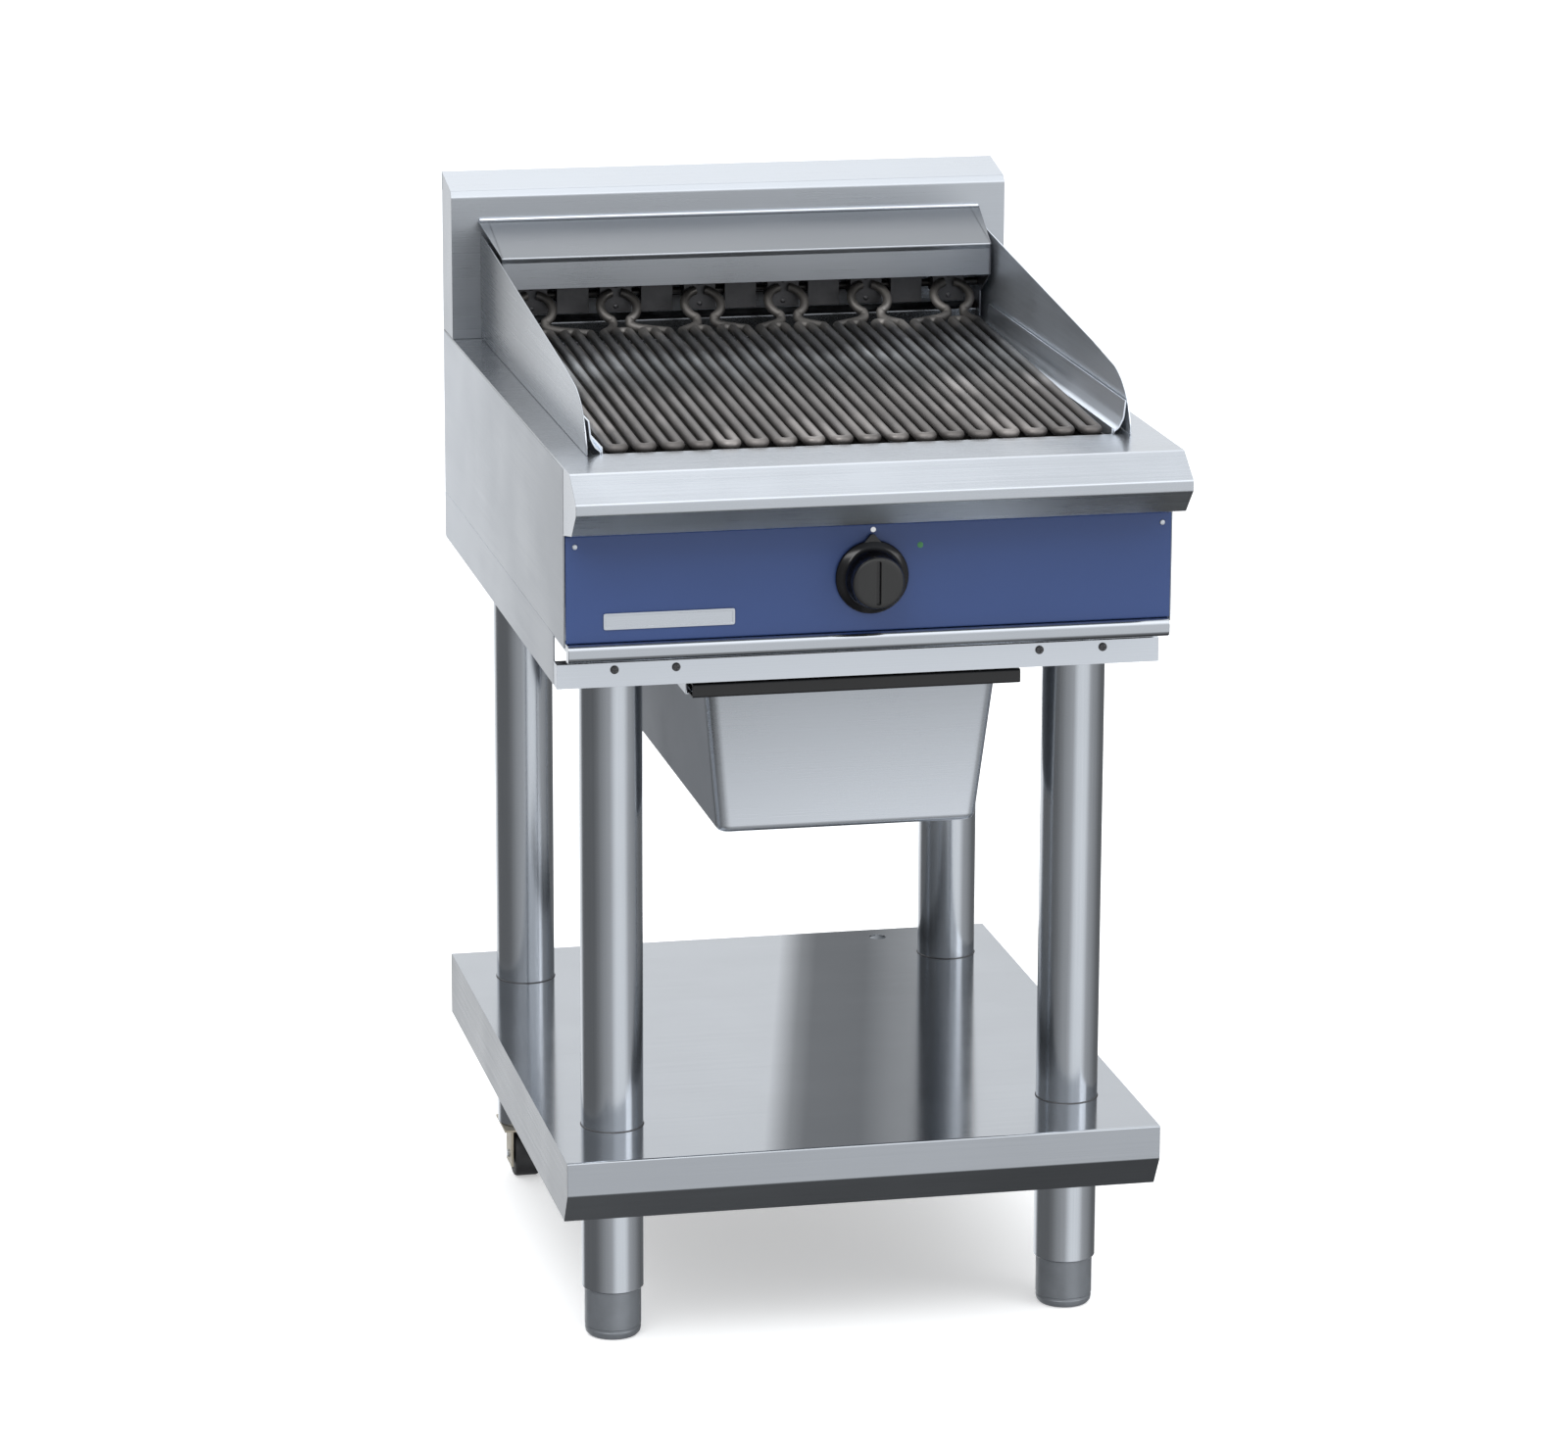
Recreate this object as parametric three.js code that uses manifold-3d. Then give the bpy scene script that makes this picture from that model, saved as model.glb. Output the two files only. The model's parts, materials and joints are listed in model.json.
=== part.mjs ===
// Electric charbroiler grill on a leg stand, with splashback, side guards, hinged heating
// elements and a drip pan that slides out at the front.
// Millimetres. +Z up, +X to the right, the front faces -Y, origin on the floor at the centre.
import * as THREE from "three";
import { mergeVertices } from "three/addons/utils/BufferGeometryUtils.js";
import Module from "manifold-3d";

const wasm = await Module();
wasm.setup();

// ---- Driving dimensions -------------------------------------------------------------------

const clearance = 0.3;
const sheet = 1.5;

// Overall
const bodyWidth = 600;
const bodyDepth = 812;
const hobHeight = 915;
const splashHeight = 170;

// Body, measured down from the hob top or in from the front, rear or side
const hobThickness = 2;
const noseDepth = 35;
const noseDrop = 23;
const noseLip = 10;
const noseUndercut = 25;
const noseReturnRise = 9;
const panelSetback = 69;
const panelTopDrop = 67;
const panelHeight = 106;
const panelFlange = 12;
const trimHeight = 18;
const trimRadius = 7;
const railSetback = 111;
const railTopDrop = 203;
const railHeight = 24;
const railFlange = 18;
const bodyHeight = 227;
const skirtHeight = 50;
const skirtFlange = 16;
const rearPanelInset = 14;

// Splashback and the hood over the element hinge
const splashDepth = 66;
const splashFrontDrop = 19;
const splashCornerDrop = 12.5;
const splashCornerDepth = 6;
const splashRearLip = 20;
const hoodDepth = 94;
const hoodRearFlare = 10;
const hoodRearRise = 126;
const hoodFrontRise = 101;
const hoodStripBottomRise = 67;
const hoodStripSetback = 1.5;
const hoodLipDrop = 6;
const cheekSetback = 14;
const cheekNotchDrop = 24;

// Cooking well
const wellSideMargin = 38;
const wellFrontSetback = 123;
const wellRearGap = 42;
const linerMouthHalfWidth = 138;
const linerMouthFrontSetback = 172;
const linerMouthRearSetback = 192;
const sillHeight = 23;

// Side guards
const guardOffset = 6;
const guardLowRise = 57;
const guardMidRise = 67;
const guardBackRise = 113;
const guardCornerLength = 62;
const guardFootRise = 7;
const guardCornerPull = 12;
const guardCornerShare = 0.8;
const guardMidLength = 145;

// Heating elements
const elementCount = 6;
const elementPasses = 6;
const gridSideMargin = 16;
const gridFrontGap = 8;
const tubeDiameter = 9.5;
const gridFrontRise = 1;
const gridRearRise = 23;
const gridRearGap = 55;
const rearBendSetback = 12;
const ringPitch = 90;
const ringRadius = 19.5;
const ringRise = 28;
const ringLean = 42;
const neckHalfWidth = 9;
const hingeSetback = 39;
const hingeRise = 51;
const hingeRodDiameter = 8;
const hingeRunning = 0.3;
const hingeBarrelRadius = 7.5;
const hingePlateWidth = 34;
const hingePlateHeight = 34;
const hingePlateThickness = 5;
const hingePlateBite = 3;
const supportWidth = 34;
const restBarSetback = 45;
const restBarSize = 8;

// Drip pan and its runners
const panTopDrop = 244;
const panHeight = 151;
const panTopHalfWidth = 147;
const panBottomHalfWidth = 131;
const panFrontSetback = 151;
const panRearSetback = 171;
const panEndTaper = 14;
const panRim = 13;
const gripOverhang = 4;
const gripHeight = 14;
const gripDepth = 26;
const runnerPlay = 1;
const runnerLip = 8;

// Knob and energy regulator
const knobDrop = 119;
const knobSkirtRadius = 36;
const knobGripRadius = 25.5;
const knobReach = 33;
const knobGap = 1;
const pointerReach = 42;
const spindleDiameter = 6;
const spindleRunning = 0.3;
const collarDiameter = 10;
const regulatorSize = 40;
const regulatorDepth = 30;

// Legs, shelf, feet and rollers
const legDiameter = 62.3;
const legWall = 2;
const legSideInset = 66;
const legFrontSetback = 186;
const legRearSetback = 107;
const legFoot = 51;
const rollerHeight = 57;
const legTopGap = 6;
const shelfTop = 221;
const shelfFrontSetback = 69;
const shelfRearSetback = 8;
const shelfFace = 34;
const shelfReturn = 20;
const shelfReturnDrop = 32;
const shelfSkirt = 68;
const drainRadius = 9;
const drainX = 173;
const drainInset = 31;
const footStep = 2.65;
const footStemDiameter = 30;
const footStemReach = 45;
const footPlugHeight = 20;
const wheelDiameter = 50;
const wheelWidth = 27;
const wheelSideShift = 5;
const wheelFrontShift = 16;
const axleDiameter = 8;
const axleRunning = 0.3;
const forkGap = 1.5;
const forkThickness = 2.5;

// ---- Derived places -----------------------------------------------------------------------

const halfWidth = bodyWidth / 2;
const frontY = -bodyDepth / 2;
const rearY = bodyDepth / 2;
const baseZ = hobHeight - bodyHeight;
const panelY = frontY + panelSetback;
const panelTopZ = hobHeight - panelTopDrop;
const panelBottomZ = panelTopZ - panelHeight;
const skirtTopZ = baseZ + skirtHeight;
const railY = frontY + railSetback;
const railTopZ = hobHeight - railTopDrop;
const splashY = rearY - splashDepth;
const splashTopZ = hobHeight + splashHeight;
const hoodY = splashY - hoodDepth;
const wellHalf = halfWidth - wellSideMargin;
const wellFrontY = frontY + wellFrontSetback;
const wellRearY = splashY - wellRearGap;
const guardX = wellHalf + guardOffset;
const gridHalf = wellHalf - gridSideMargin;
const elementWidth = (2 * gridHalf) / elementCount;
const passPitch = elementWidth / elementPasses;
const gridFrontY = wellFrontY + gridFrontGap;
const hingeY = splashY - hingeSetback;
const hingeZ = hobHeight + hingeRise;
const legX = halfWidth - legSideInset;
const legFrontY = frontY + legFrontSetback;
const legRearY = rearY - legRearSetback;
const panTopZ = hobHeight - panTopDrop;
const panFrontY = frontY + panFrontSetback;
const panRearY = rearY - panRearSetback;
const knobZ = hobHeight - knobDrop;

// ---- Materials ----------------------------------------------------------------------------

const finish = (color, roughness, metalness) =>
  new THREE.MeshStandardMaterial({ color, roughness, metalness });

const steel = finish(0xc4c6c8, 0.35, 0.9);
const brightSteel = finish(0xd8dadc, 0.18, 1);
const darkSteel = finish(0x6e7072, 0.4, 0.9);
const blue = finish(0x405482, 0.5, 0.1);
const black = finish(0x121314, 0.3, 0);
const sheath = finish(0x4a4642, 0.55, 0.6);
const ceramic = finish(0xe6e0d2, 0.7, 0);
const zinc = finish(0xb0a894, 0.45, 0.8);
const rubber = finish(0x26272a, 0.8, 0);
const grey = finish(0x8d9194, 0.5, 0.3);

// ---- Shape helpers ------------------------------------------------------------------------

const outline = (points) => new THREE.Shape(points.map(([u, v]) => new THREE.Vector2(u, v)));

const circleHole = (u, v, radius) => {
  const hole = new THREE.Path();
  hole.absarc(u, v, radius, 0, 2 * Math.PI, true);
  return hole;
};

// The points of a path moved sideways, to the left of its direction of travel
function offsetPath(points, distance) {
  return points.map((point, index) => {
    const before = points[Math.max(index - 1, 0)];
    const after = points[Math.min(index + 1, points.length - 1)];
    const inward = [before, after].map((other, side) => {
      const from = side === 0 ? other : point;
      const to = side === 0 ? point : other;
      const length = Math.hypot(to[0] - from[0], to[1] - from[1]);
      return length > 0 ? [-(to[1] - from[1]) / length, (to[0] - from[0]) / length] : null;
    });
    const first = inward[0] ?? inward[1];
    const second = inward[1] ?? inward[0];
    const scale = distance / (1 + first[0] * second[0] + first[1] * second[1]);
    return [point[0] + (first[0] + second[0]) * scale, point[1] + (first[1] + second[1]) * scale];
  });
}

// Outline of a folded sheet: the points run along one face, and the sheet's thickness lies to
// the left of their direction of travel.
const foldedSheet = (points, thickness) =>
  outline([...points, ...offsetPath(points, thickness).reverse()]);

const extrude = (shape, depth, curveSegments = 12) =>
  new THREE.ExtrudeGeometry(shape, { depth, bevelEnabled: false, curveSegments });

// A (y, z) outline carried from x = from to x = to
function alongX(shape, from, to, curveSegments) {
  const basis = new THREE.Matrix4().makeBasis(
    new THREE.Vector3(0, 1, 0), new THREE.Vector3(0, 0, 1), new THREE.Vector3(1, 0, 0));
  return extrude(shape, to - from, curveSegments).applyMatrix4(basis).translate(from, 0, 0);
}

// An (x, z) outline carried from y = from to y = to
function alongY(shape, from, to, curveSegments) {
  return extrude(shape, to - from, curveSegments).rotateX(Math.PI / 2).translate(0, to, 0);
}

const alongZ = (shape, from, to, curveSegments) =>
  extrude(shape, to - from, curveSegments).translate(0, 0, from);

const block = (x0, x1, y0, y1, z0, z1) => new THREE.BoxGeometry(x1 - x0, y1 - y0, z1 - z0)
  .translate((x0 + x1) / 2, (y0 + y1) / 2, (z0 + z1) / 2);

const rodX = (radius, x0, x1, y, z, sides = 16) =>
  new THREE.CylinderGeometry(radius, radius, x1 - x0, sides)
    .rotateZ(Math.PI / 2).translate((x0 + x1) / 2, y, z);

const rodY = (radius, y0, y1, x, z, sides = 16) =>
  new THREE.CylinderGeometry(radius, radius, y1 - y0, sides).translate(x, (y0 + y1) / 2, z);

const rodZ = (radius, z0, z1, x, y, sides = 32) =>
  new THREE.CylinderGeometry(radius, radius, z1 - z0, sides)
    .rotateX(Math.PI / 2).translate(x, y, (z0 + z1) / 2);

// A body of revolution about Z from [radius, height] pairs
const turned = (profile, sides = 32) =>
  new THREE.LatheGeometry(profile.map(([r, z]) => new THREE.Vector2(r, z)), sides)
    .rotateX(Math.PI / 2);

// ---- Solid helpers ------------------------------------------------------------------------

function solid(geometry) {
  const bare = geometry.clone();
  bare.deleteAttribute("normal");
  bare.deleteAttribute("uv");
  const merged = mergeVertices(bare, 1e-3);
  return new wasm.Manifold(new wasm.Mesh({
    numProp: 3,
    vertProperties: new Float32Array(merged.attributes.position.array),
    triVerts: new Uint32Array(merged.index.array),
  }));
}

function surface(body) {
  const mesh = body.getMesh();
  const geometry = new THREE.BufferGeometry();
  geometry.setAttribute("position", new THREE.BufferAttribute(mesh.vertProperties, 3));
  geometry.setIndex(new THREE.BufferAttribute(mesh.triVerts, 1));
  geometry.computeVertexNormals();
  return geometry;
}

const join = (...pieces) => surface(pieces.map(solid).reduce((sum, next) => sum.add(next)));

const cut = (stock, ...tools) =>
  surface(tools.map(solid).reduce((rest, tool) => rest.subtract(tool), solid(stock)));

// A folded sheet across the whole width, closed by a plate set in slightly at each end. The
// plate's edge lies inside the sheet, and closing holds its corners away from the fold.
function withEnds(points, thickness, closing) {
  const endInset = 0.2;
  const plate = outline([...offsetPath(points, thickness / 2), ...closing]);
  return join(alongX(foldedSheet(points, thickness), -halfWidth, halfWidth),
    alongX(plate, endInset - halfWidth, endInset + sheet - halfWidth),
    alongX(plate, halfWidth - sheet - endInset, halfWidth - endInset));
}

// A tapered box between two rectangles given as [x0, x1, y0, y1, z]
function taperedBlock(low, high) {
  const corners = [low, high].flatMap(([x0, x1, y0, y1, z]) =>
    [[x0, y0, z], [x1, y0, z], [x1, y1, z], [x0, y1, z]]);
  const faces = [0, 2, 1, 0, 3, 2, 4, 5, 6, 4, 6, 7, 0, 1, 5, 0, 5, 4,
    1, 2, 6, 1, 6, 5, 2, 3, 7, 2, 7, 6, 3, 0, 4, 3, 4, 7];
  const geometry = new THREE.BufferGeometry();
  geometry.setAttribute("position", new THREE.Float32BufferAttribute(corners.flat(), 3));
  geometry.setIndex(faces);
  geometry.computeVertexNormals();
  return geometry;
}

// A path whose steps fall on its own points, so that long straights cost no extra steps
class PointPath extends THREE.Curve {
  constructor(points) {
    super();
    this.points = points;
  }

  getSpacedPoints() {
    return this.points;
  }

  getTangentAt(fraction) {
    const last = this.points.length - 1;
    const index = Math.round(fraction * last);
    const before = this.points[Math.max(index - 1, 0)];
    const here = this.points[index];
    const after = this.points[Math.min(index + 1, last)];
    const arriving = here.clone().sub(before).normalize();
    const leaving = after.clone().sub(here).normalize();
    return arriving.add(leaving).normalize();
  }
}

function tubeAlong(points, radius, sides) {
  const section = new THREE.Shape();
  section.absarc(0, 0, radius, 0, 2 * Math.PI, false);
  return new THREE.ExtrudeGeometry(section, {
    steps: points.length - 1,
    curveSegments: sides,
    extrudePath: new PointPath(points),
  });
}

// ---- The assembly -------------------------------------------------------------------------

const grill = new THREE.Group();

function place(name, geometry, material, position = [0, 0, 0], parent = grill) {
  const mesh = new THREE.Mesh(geometry, material.clone());
  mesh.name = name;
  mesh.position.set(...position);
  parent.add(mesh);
  return mesh;
}

const sides = [["left", -1], ["right", 1]];

// ---- Hob top ------------------------------------------------------------------------------

function hobTop() {
  const flatY = frontY + noseDepth;
  const lipZ = hobHeight - noseDrop;
  const noseOutline = [
    [flatY, hobHeight], [frontY, lipZ], [frontY, lipZ - noseLip],
    [frontY + noseUndercut, panelTopZ + noseReturnRise], [panelY + sheet, panelTopZ + clearance]];
  const nose = withEnds(noseOutline, sheet, [[panelY + sheet, hobHeight - hobThickness / 2]]);
  const plate = block(-halfWidth, halfWidth, flatY, rearY - sheet - clearance,
    hobHeight - hobThickness, hobHeight);
  const well = block(-wellHalf, wellHalf, wellFrontY, wellRearY,
    hobHeight - 2 * hobThickness, hobHeight + hobThickness);
  return cut(join(nose, plate), well);
}
place("hob_top", hobTop(), steel);

// ---- Body panels --------------------------------------------------------------------------

const panelBackY = panelY + sheet + clearance;
const sidePanelTopZ = hobHeight - hobThickness - clearance;

for (const [hand, side] of sides) {
  const outer = side > 0 ? [halfWidth - sheet, halfWidth] : [-halfWidth, sheet - halfWidth];
  const panel = block(...outer, panelBackY, rearY - sheet - clearance,
    skirtTopZ + clearance, sidePanelTopZ);
  place(`side_panel_${hand}`, panel, steel);

  const skirt = foldedSheet([
    [side * halfWidth, skirtTopZ], [side * halfWidth, baseZ],
    [side * (halfWidth - skirtFlange), baseZ]], -side * sheet);
  place(`base_skirt_${hand}`, alongY(skirt, railY + railFlange + clearance,
    rearY - 2 * sheet - clearance), steel);
}

const innerHalf = halfWidth - sheet - clearance;
const rearPanelY = rearY - rearPanelInset;
const glandX = 190;
const glandRise = 82;
const glandZ = baseZ + glandRise;
const glandThreadRadius = 9;
const rearPanel = block(-innerHalf, innerHalf, rearPanelY - sheet, rearPanelY,
  skirtTopZ + clearance, sidePanelTopZ);
place("rear_panel", cut(rearPanel,
  rodY(glandThreadRadius + clearance, rearPanelY - 10, rearPanelY + 10, glandX, glandZ)), steel);

const rearRail = foldedSheet([
  [rearY - sheet, baseZ + sheet], [rearY - sheet, skirtTopZ]], sheet);
place("rear_rail", alongX(rearRail, -halfWidth, halfWidth), steel);

place("front_rail", withEnds([
  [railY + railFlange, railTopZ], [railY, railTopZ], [railY, railTopZ - railHeight],
  [railY + railFlange, railTopZ - railHeight]], sheet, []), steel);

// ---- Control panel, trim and badge --------------------------------------------------------

const controlFold = foldedSheet([
  [panelY + panelFlange, panelTopZ], [panelY, panelTopZ], [panelY, panelBottomZ],
  [panelY + panelFlange, panelBottomZ]], sheet);
const spindleHole = rodY(collarDiameter / 2 + clearance, panelY - 5, panelY + 5, 0, knobZ);
place("control_panel", cut(alongX(controlFold, -innerHalf, innerHalf), spindleHole), blue);

const trimEndInset = 3;
const trim = new THREE.Shape();
trim.moveTo(panelY + trimRadius, 0);
trim.lineTo(panelY, 0);
trim.absarc(panelY, trimRadius, trimRadius, -Math.PI / 2, -Math.PI, true);
trim.lineTo(panelY - trimRadius, trimHeight - trimRadius);
trim.absarc(panelY, trimHeight - trimRadius, trimRadius, Math.PI, Math.PI / 2, true);
trim.lineTo(panelY + trimRadius, trimHeight);
place("panel_trim", alongX(trim, trimEndInset - halfWidth, halfWidth - trimEndInset, 5), brightSteel,
  [0, 0, panelBottomZ - clearance - trimHeight]);

const badgeWidth = 128;
const badgeHeight = 16;
const badgeThickness = 1.2;
const badgeSideInset = 38;
const badgeRise = 13;
place("badge_plate", new THREE.BoxGeometry(badgeWidth, badgeThickness, badgeHeight), brightSteel,
  [badgeSideInset + badgeWidth / 2 - halfWidth, panelY - clearance - badgeThickness / 2,
    panelBottomZ + badgeRise + badgeHeight / 2]);

// ---- Splashback ---------------------------------------------------------------------------

const splashBottomZ = hobHeight + clearance;
const splashFace = [
  [splashY, splashBottomZ], [splashY, splashTopZ - splashFrontDrop],
  [splashY + splashCornerDepth, splashTopZ - splashCornerDrop], [rearY, splashTopZ]];
place("splashback", withEnds([...splashFace, [rearY, splashTopZ - splashRearLip]], -sheet,
  [[rearY - sheet / 2, splashBottomZ + clearance]]), steel);

const coverTopGap = 4;
place("splashback_cover", block(-innerHalf, innerHalf, rearY - 2 * sheet - clearance,
  rearY - sheet - clearance, splashBottomZ, splashTopZ - coverTopGap), steel);

// ---- Hood over the element hinge ----------------------------------------------------------

const hoodHalf = wellHalf;
const hoodBackY = splashY - clearance;
const hoodRoofEndY = hoodBackY - sheet / 2;
const hoodStripY = hoodY + hoodStripSetback;
const hoodTopline = [
  [hoodRoofEndY, hobHeight + hoodRearRise], [hoodY, hobHeight + hoodFrontRise],
  [hoodStripY, hobHeight + hoodFrontRise - hoodLipDrop], [hoodStripY, hobHeight + hoodStripBottomRise]];
const hoodFold = foldedSheet(hoodTopline, sheet);
const cheekFrontY = hingeY - cheekSetback;
const cheekOutline = outline([...hoodTopline,
  [cheekFrontY, hobHeight + hoodStripBottomRise - cheekNotchDrop],
  [cheekFrontY, hobHeight + clearance], [hoodBackY, hobHeight + clearance]]);
const cheeks = sides.map(([, side]) => alongX(cheekOutline,
  side > 0 ? hoodHalf - sheet : -hoodHalf, side > 0 ? hoodHalf : sheet - hoodHalf));
const rodHole = rodX(hingeRodDiameter / 2 + clearance, -halfWidth, halfWidth, hingeY, hingeZ);
const hoodRearHalf = hoodHalf + hoodRearFlare;

// The wedges taken off the roof's ends, so that it narrows from rear to front
const wedgeMargin = 1;
const wedgeWidth = 5;
const hoodCorners = sides.map(([, side]) => alongZ(outline([
  [side * hoodHalf, hoodY - wedgeMargin], [side * hoodRearHalf, hoodBackY + wedgeMargin],
  [side * (hoodRearHalf + wedgeWidth), hoodBackY + wedgeMargin],
  [side * (hoodRearHalf + wedgeWidth), hoodY - wedgeMargin]]), hobHeight, splashTopZ));
place("element_hood", cut(join(alongX(hoodFold, -hoodRearHalf, hoodRearHalf), ...cheeks),
  ...hoodCorners, rodHole), steel);

const hoodInner = hoodHalf - sheet - clearance;
const sillY = wellRearY + sheet;
const sillFold = foldedSheet([
  [sillY, hobHeight + clearance], [sillY, hobHeight + sillHeight],
  [hoodBackY, hobHeight + sillHeight]], -sheet);
place("rear_sill", alongX(sillFold, -hoodInner, hoodInner), steel);

const hingeRodEnd = 3;
place("hinge_rod",
  rodX(hingeRodDiameter / 2, -hoodHalf - hingeRodEnd, hoodHalf + hingeRodEnd, 0, 0),
  darkSteel, [0, hingeY, hingeZ]);

// Fixed supports for the hinge rod, one between each pair of rings
const boreSegments = 12;
const supportFront = -13;
const supportFace = -9;
const supportBottom = -18;
const supportTop = 15;
const supportArm = 6;
const supportBack = splashY - hingeY - clearance;
const supportOutline = outline([
  [supportFront, supportBottom], [supportFace, supportBottom], [supportFace, -supportArm],
  [supportBack, -supportArm], [supportBack, supportArm], [supportFace, supportArm],
  [supportFace, supportTop], [supportFront, supportTop]]);
supportOutline.holes.push(circleHole(0, 0, hingeRodDiameter / 2 + clearance));
for (let index = 1; index < elementCount; index += 1) {
  const x = (index - elementCount / 2) * ringPitch;
  place(`rod_support_${index}`, alongX(supportOutline, -supportWidth / 2, supportWidth / 2,
    boreSegments), grey, [x, hingeY, hingeZ]);
}

// ---- Heating elements ---------------------------------------------------------------------

const tubeRadius = tubeDiameter / 2;
const gridRearY = hingeY - gridRearGap;
const gridSlope = (gridRearRise - gridFrontRise) / (gridRearY - gridFrontY);
const gridHeightAt = (y) => hobHeight + gridFrontRise + (y - gridFrontY) * gridSlope;
const leanAngle = THREE.MathUtils.degToRad(ringLean);

// The centre line of one element in the object's frame. Its tube runs to and fro between the
// front and rear bends. Its two tails close in to a neck, rise and bow out into a ring.
function elementPath(centreX, ringX) {
  const bend = passPitch / 2;
  const bendSteps = 4;
  const frontStart = gridFrontY + tubeRadius + bend;
  const rearStart = gridRearY - tubeRadius - bend - rearBendSetback;
  const passX = (pass) => centreX + (pass - (elementPasses - 1) / 2) * passPitch;
  const onGrid = (x, y) => new THREE.Vector3(x, y, gridHeightAt(y));

  // The ring leans back from the grid, and its neck is where its plane meets the grid.
  const tail = (side) => {
    const ringStart = -0.345 * Math.PI;
    const ringEnd = 0.41 * Math.PI;
    const ringSteps = 7;
    const onRing = (across, along) => new THREE.Vector3(ringX + side * across,
      gridRearY + along * Math.cos(leanAngle), gridHeightAt(gridRearY) + along * Math.sin(leanAngle));
    const points = [onRing(neckHalfWidth, 0)];
    for (let step = 0; step <= ringSteps; step += 1) {
      const angle = ringStart + (ringEnd - ringStart) * (step / ringSteps);
      points.push(onRing(Math.cos(angle) * ringRadius, ringRise + Math.sin(angle) * ringRadius));
    }
    return points;
  };

  const points = [...tail(-1).reverse()];
  for (let pass = 0; pass < elementPasses; pass += 1) {
    const goingForward = pass % 2 === 0;
    const x = passX(pass);
    points.push(onGrid(x, goingForward ? rearStart : frontStart));
    if (pass === elementPasses - 1) {
      points.push(onGrid(x, rearStart));
      break;
    }
    const turnY = goingForward ? frontStart : rearStart;
    const outward = goingForward ? -1 : 1;
    for (let step = 0; step < bendSteps; step += 1) {
      const angle = (Math.PI * step) / bendSteps;
      points.push(onGrid(x + bend * (1 - Math.cos(angle)), turnY + outward * bend * Math.sin(angle)));
    }
  }
  return [...points, ...tail(1)];
}

// The steel hinge plate brazed to the ring, with its barrel around the rod
function hingePlate(ringX) {
  const half = hingePlateHeight / 2;
  const ringTopY = gridRearY + (ringRise + ringRadius) * Math.cos(leanAngle);
  const plateFront = ringTopY - hingeY + tubeRadius - hingePlateBite;
  const plateBack = plateFront + hingePlateThickness;
  const barrelJoin = 4;
  const grip = Math.asin(barrelJoin / hingeBarrelRadius);
  const shape = new THREE.Shape();
  shape.moveTo(plateFront, -half);
  shape.lineTo(plateBack, -half);
  shape.lineTo(plateBack, -barrelJoin);
  shape.absarc(0, 0, hingeBarrelRadius, Math.PI + grip, Math.PI - grip, false);
  shape.lineTo(plateBack, barrelJoin);
  shape.lineTo(plateBack, half);
  shape.lineTo(plateFront, half);
  shape.holes.push(circleHole(0, 0, hingeRodDiameter / 2 + hingeRunning));
  return alongX(shape, -hingePlateWidth / 2, hingePlateWidth / 2, boreSegments)
    .translate(ringX, hingeY, hingeZ);
}

const elementTubeSides = 3;
for (let index = 0; index < elementCount; index += 1) {
  const steps = index - (elementCount - 1) / 2;
  const centreX = steps * elementWidth;
  const ringX = steps * ringPitch;
  const tube = tubeAlong(elementPath(centreX, ringX), tubeRadius, elementTubeSides);
  const geometry = join(tube, hingePlate(ringX)).translate(0, -hingeY, -hingeZ);
  place(`element_${index + 1}`, geometry, sheath, [0, hingeY, hingeZ]);
}

// ---- Side guards and gutters --------------------------------------------------------------

const guardShape = new THREE.Shape();
const guardFootY = wellFrontY - guardFootRise;
const guardMidY = guardFootY + guardMidLength;
guardShape.moveTo(guardFootY, hobHeight + clearance);
guardShape.lineTo(guardFootY, hobHeight + guardFootRise);
guardShape.quadraticCurveTo(
  guardFootY + guardCornerPull, hobHeight + guardLowRise * guardCornerShare,
  guardFootY + guardCornerLength, hobHeight + guardLowRise);
guardShape.lineTo(guardMidY, hobHeight + guardMidRise);
guardShape.lineTo(hoodBackY, hobHeight + guardBackRise);
guardShape.lineTo(hoodBackY, hobHeight + clearance);

// Gutter: each pair is how far in from the guard and how high above the hob
const gutterFlare = [[0, 32], [2, 15], [7, 5], [12, 2]];
const gutterFloorDrop = 8;
const gutterLipRise = 6;
const gutterGridGap = 3;
const gutterFrontGap = 1;
const gutterRearGap = 34;
for (const [hand, side] of sides) {
  place(`side_guard_${hand}`, alongX(guardShape, -sheet / 2, sheet / 2, 6), steel,
    [side * (guardX + sheet / 2), 0, 0]);

  const flareX = guardX - clearance - sheet;
  const gutterX = gridHalf + gutterGridGap + sheet;
  const flare = gutterFlare.map(([inset, rise]) => [side * (flareX - inset), hobHeight + rise]);
  const floorX = flare[flare.length - 1][0];
  const gutter = foldedSheet([...flare, [floorX, hobHeight - gutterFloorDrop],
    [side * gutterX, hobHeight - gutterFloorDrop],
    [side * gutterX, hobHeight + gutterLipRise]], -side * sheet);
  place(`gutter_${hand}`, alongY(gutter, wellFrontY + gutterFrontGap, wellRearY - gutterRearGap),
    brightSteel);
}

// ---- Well liner ---------------------------------------------------------------------------

const linerTop = hobHeight - hobThickness - clearance;
const linerFrontGap = 2;
const linerRearGap = 4;
const linerMouthRise = 6;
const openEnd = 0.1;
const linerRect = (grow, z, top) => top
  ? [-gridHalf - grow, gridHalf + grow, wellFrontY + linerFrontGap - grow,
    wellRearY - linerRearGap + grow, z]
  : [-linerMouthHalfWidth - grow, linerMouthHalfWidth + grow,
    frontY + linerMouthFrontSetback - grow, rearY - linerMouthRearSetback + grow, z];
const linerMouthZ = panTopZ + linerMouthRise;
place("well_liner", cut(
  taperedBlock(linerRect(sheet, linerMouthZ, false), linerRect(sheet, linerTop, true)),
  taperedBlock(linerRect(0, linerMouthZ - openEnd, false),
    linerRect(0, linerTop + openEnd, true))),
darkSteel);

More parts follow.
